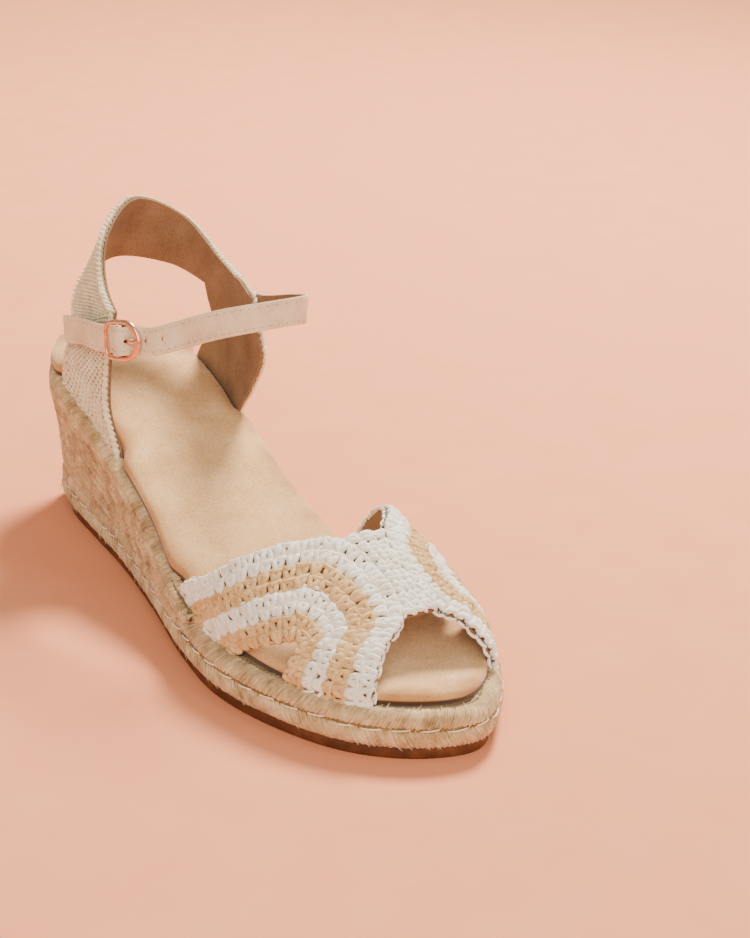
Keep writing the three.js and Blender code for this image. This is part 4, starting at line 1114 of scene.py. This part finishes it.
# stamped spring steel of the shank: grey, drawn lengthways by the rollers
steel, tree, shader = material("stamped_steel")
stroke = add(tree, "ShaderNodeMapping", {"Vector": on_object(tree), "Scale": (3000, 60, 3000)})
brush = add(tree, "ShaderNodeTexNoise", {"Vector": stroke.outputs["Vector"], "Scale": 1.0})
tree.links.new(ramp(tree, brush.outputs["Fac"], [(0.3, "#85878a"), (0.7, "#a9abad")]),
               shader.inputs["Base Color"])
shader.inputs["Metallic"].default_value = 1.0
shader.inputs["Roughness"].default_value = 0.38
for name, finish in (("wedge_core", cork), ("insole_board", board), ("footbed_foam", foam),
                     ("shank", steel)):
    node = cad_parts[name]
    node.data.materials.clear()
    node.data.materials.append(finish)

# ---------------------------------------------------------------- floor, light and camera
floor_mesh = bpy.data.meshes.new("floor")
bm = bmesh.new()
bmesh.ops.create_grid(bm, x_segments=2, y_segments=2, size=3)
bm.to_mesh(floor_mesh)
bm.free()
floor = bpy.data.objects.new("floor", floor_mesh)
bpy.context.scene.collection.objects.link(floor)
# matt peach paper, all but even
paper, tree, shader = material("pale_paper_backdrop")
fibre = add(tree, "ShaderNodeTexNoise", {"Vector": on_object(tree), "Scale": 40.0, "Detail": 2.0})
tree.links.new(ramp(tree, fibre.outputs["Fac"], [(0.3, "#ec966a"), (0.7, "#ee9a70")]),
               shader.inputs["Base Color"])
shader.inputs["Roughness"].default_value = 0.9
floor_mesh.materials.append(paper)


def area_light(name, at, aim, size, watts, colour):
    """A round softbox."""
    light = bpy.data.lights.new(name, "AREA")
    light.shape, light.size, light.energy, light.color = "DISK", size, watts, linear(colour)[:3]
    obj = bpy.data.objects.new(name, light)
    bpy.context.scene.collection.objects.link(obj)
    obj.location = at
    obj.rotation_euler = (Vector(aim) - Vector(at)).to_track_quat("-Z", "Y").to_euler()


CENTRE = (0.0, 0.0, 0.04)
area_light("key", (0.75, 0.55, 1.15), CENTRE, 0.42, 57, "#fff3e4")
area_light("fill", (-0.9, -1.0, 0.9), CENTRE, 1.4, 19, "#fff2e2")
area_light("front", (0.5, -1.1, 0.7), CENTRE, 1.0, 5.5, "#fff2e4")
world = bpy.data.worlds.new("studio")
world.use_nodes = True
world.node_tree.nodes["Background"].inputs["Color"].default_value = linear("#f4eee0")
world.node_tree.nodes["Background"].inputs["Strength"].default_value = 0.55
bpy.context.scene.world = world

YAW, PITCH_DOWN, ROLL = (math.radians(v) for v in (36.186, 23.199, 4.679))
FOCAL_SHARE = 2198.3 / 938  # focal length over the longer side of the film
CAMERA_AT = Vector((-0.38945 + CENTRE_X * MM, -0.60849 + BAND_Y * MM, 0.36455))
ahead = Vector((math.sin(YAW) * math.cos(PITCH_DOWN), math.cos(YAW) * math.cos(PITCH_DOWN),
                -math.sin(PITCH_DOWN)))
level = Vector((math.cos(YAW), -math.sin(YAW), 0))
upright = level.cross(ahead)
right = math.cos(ROLL) * level + math.sin(ROLL) * upright
up = -math.sin(ROLL) * level + math.cos(ROLL) * upright
camera = bpy.data.cameras.new("camera")
camera.sensor_width = 36
camera.lens = camera.sensor_width * FOCAL_SHARE
camera.clip_start, camera.clip_end = 0.05, 20
camera_obj = bpy.data.objects.new("camera", camera)
bpy.context.scene.collection.objects.link(camera_obj)
turned = Matrix((right, up, -ahead)).transposed().to_4x4()
camera_obj.matrix_world = Matrix.Translation(CAMERA_AT) @ turned
bpy.context.scene.camera = camera_obj
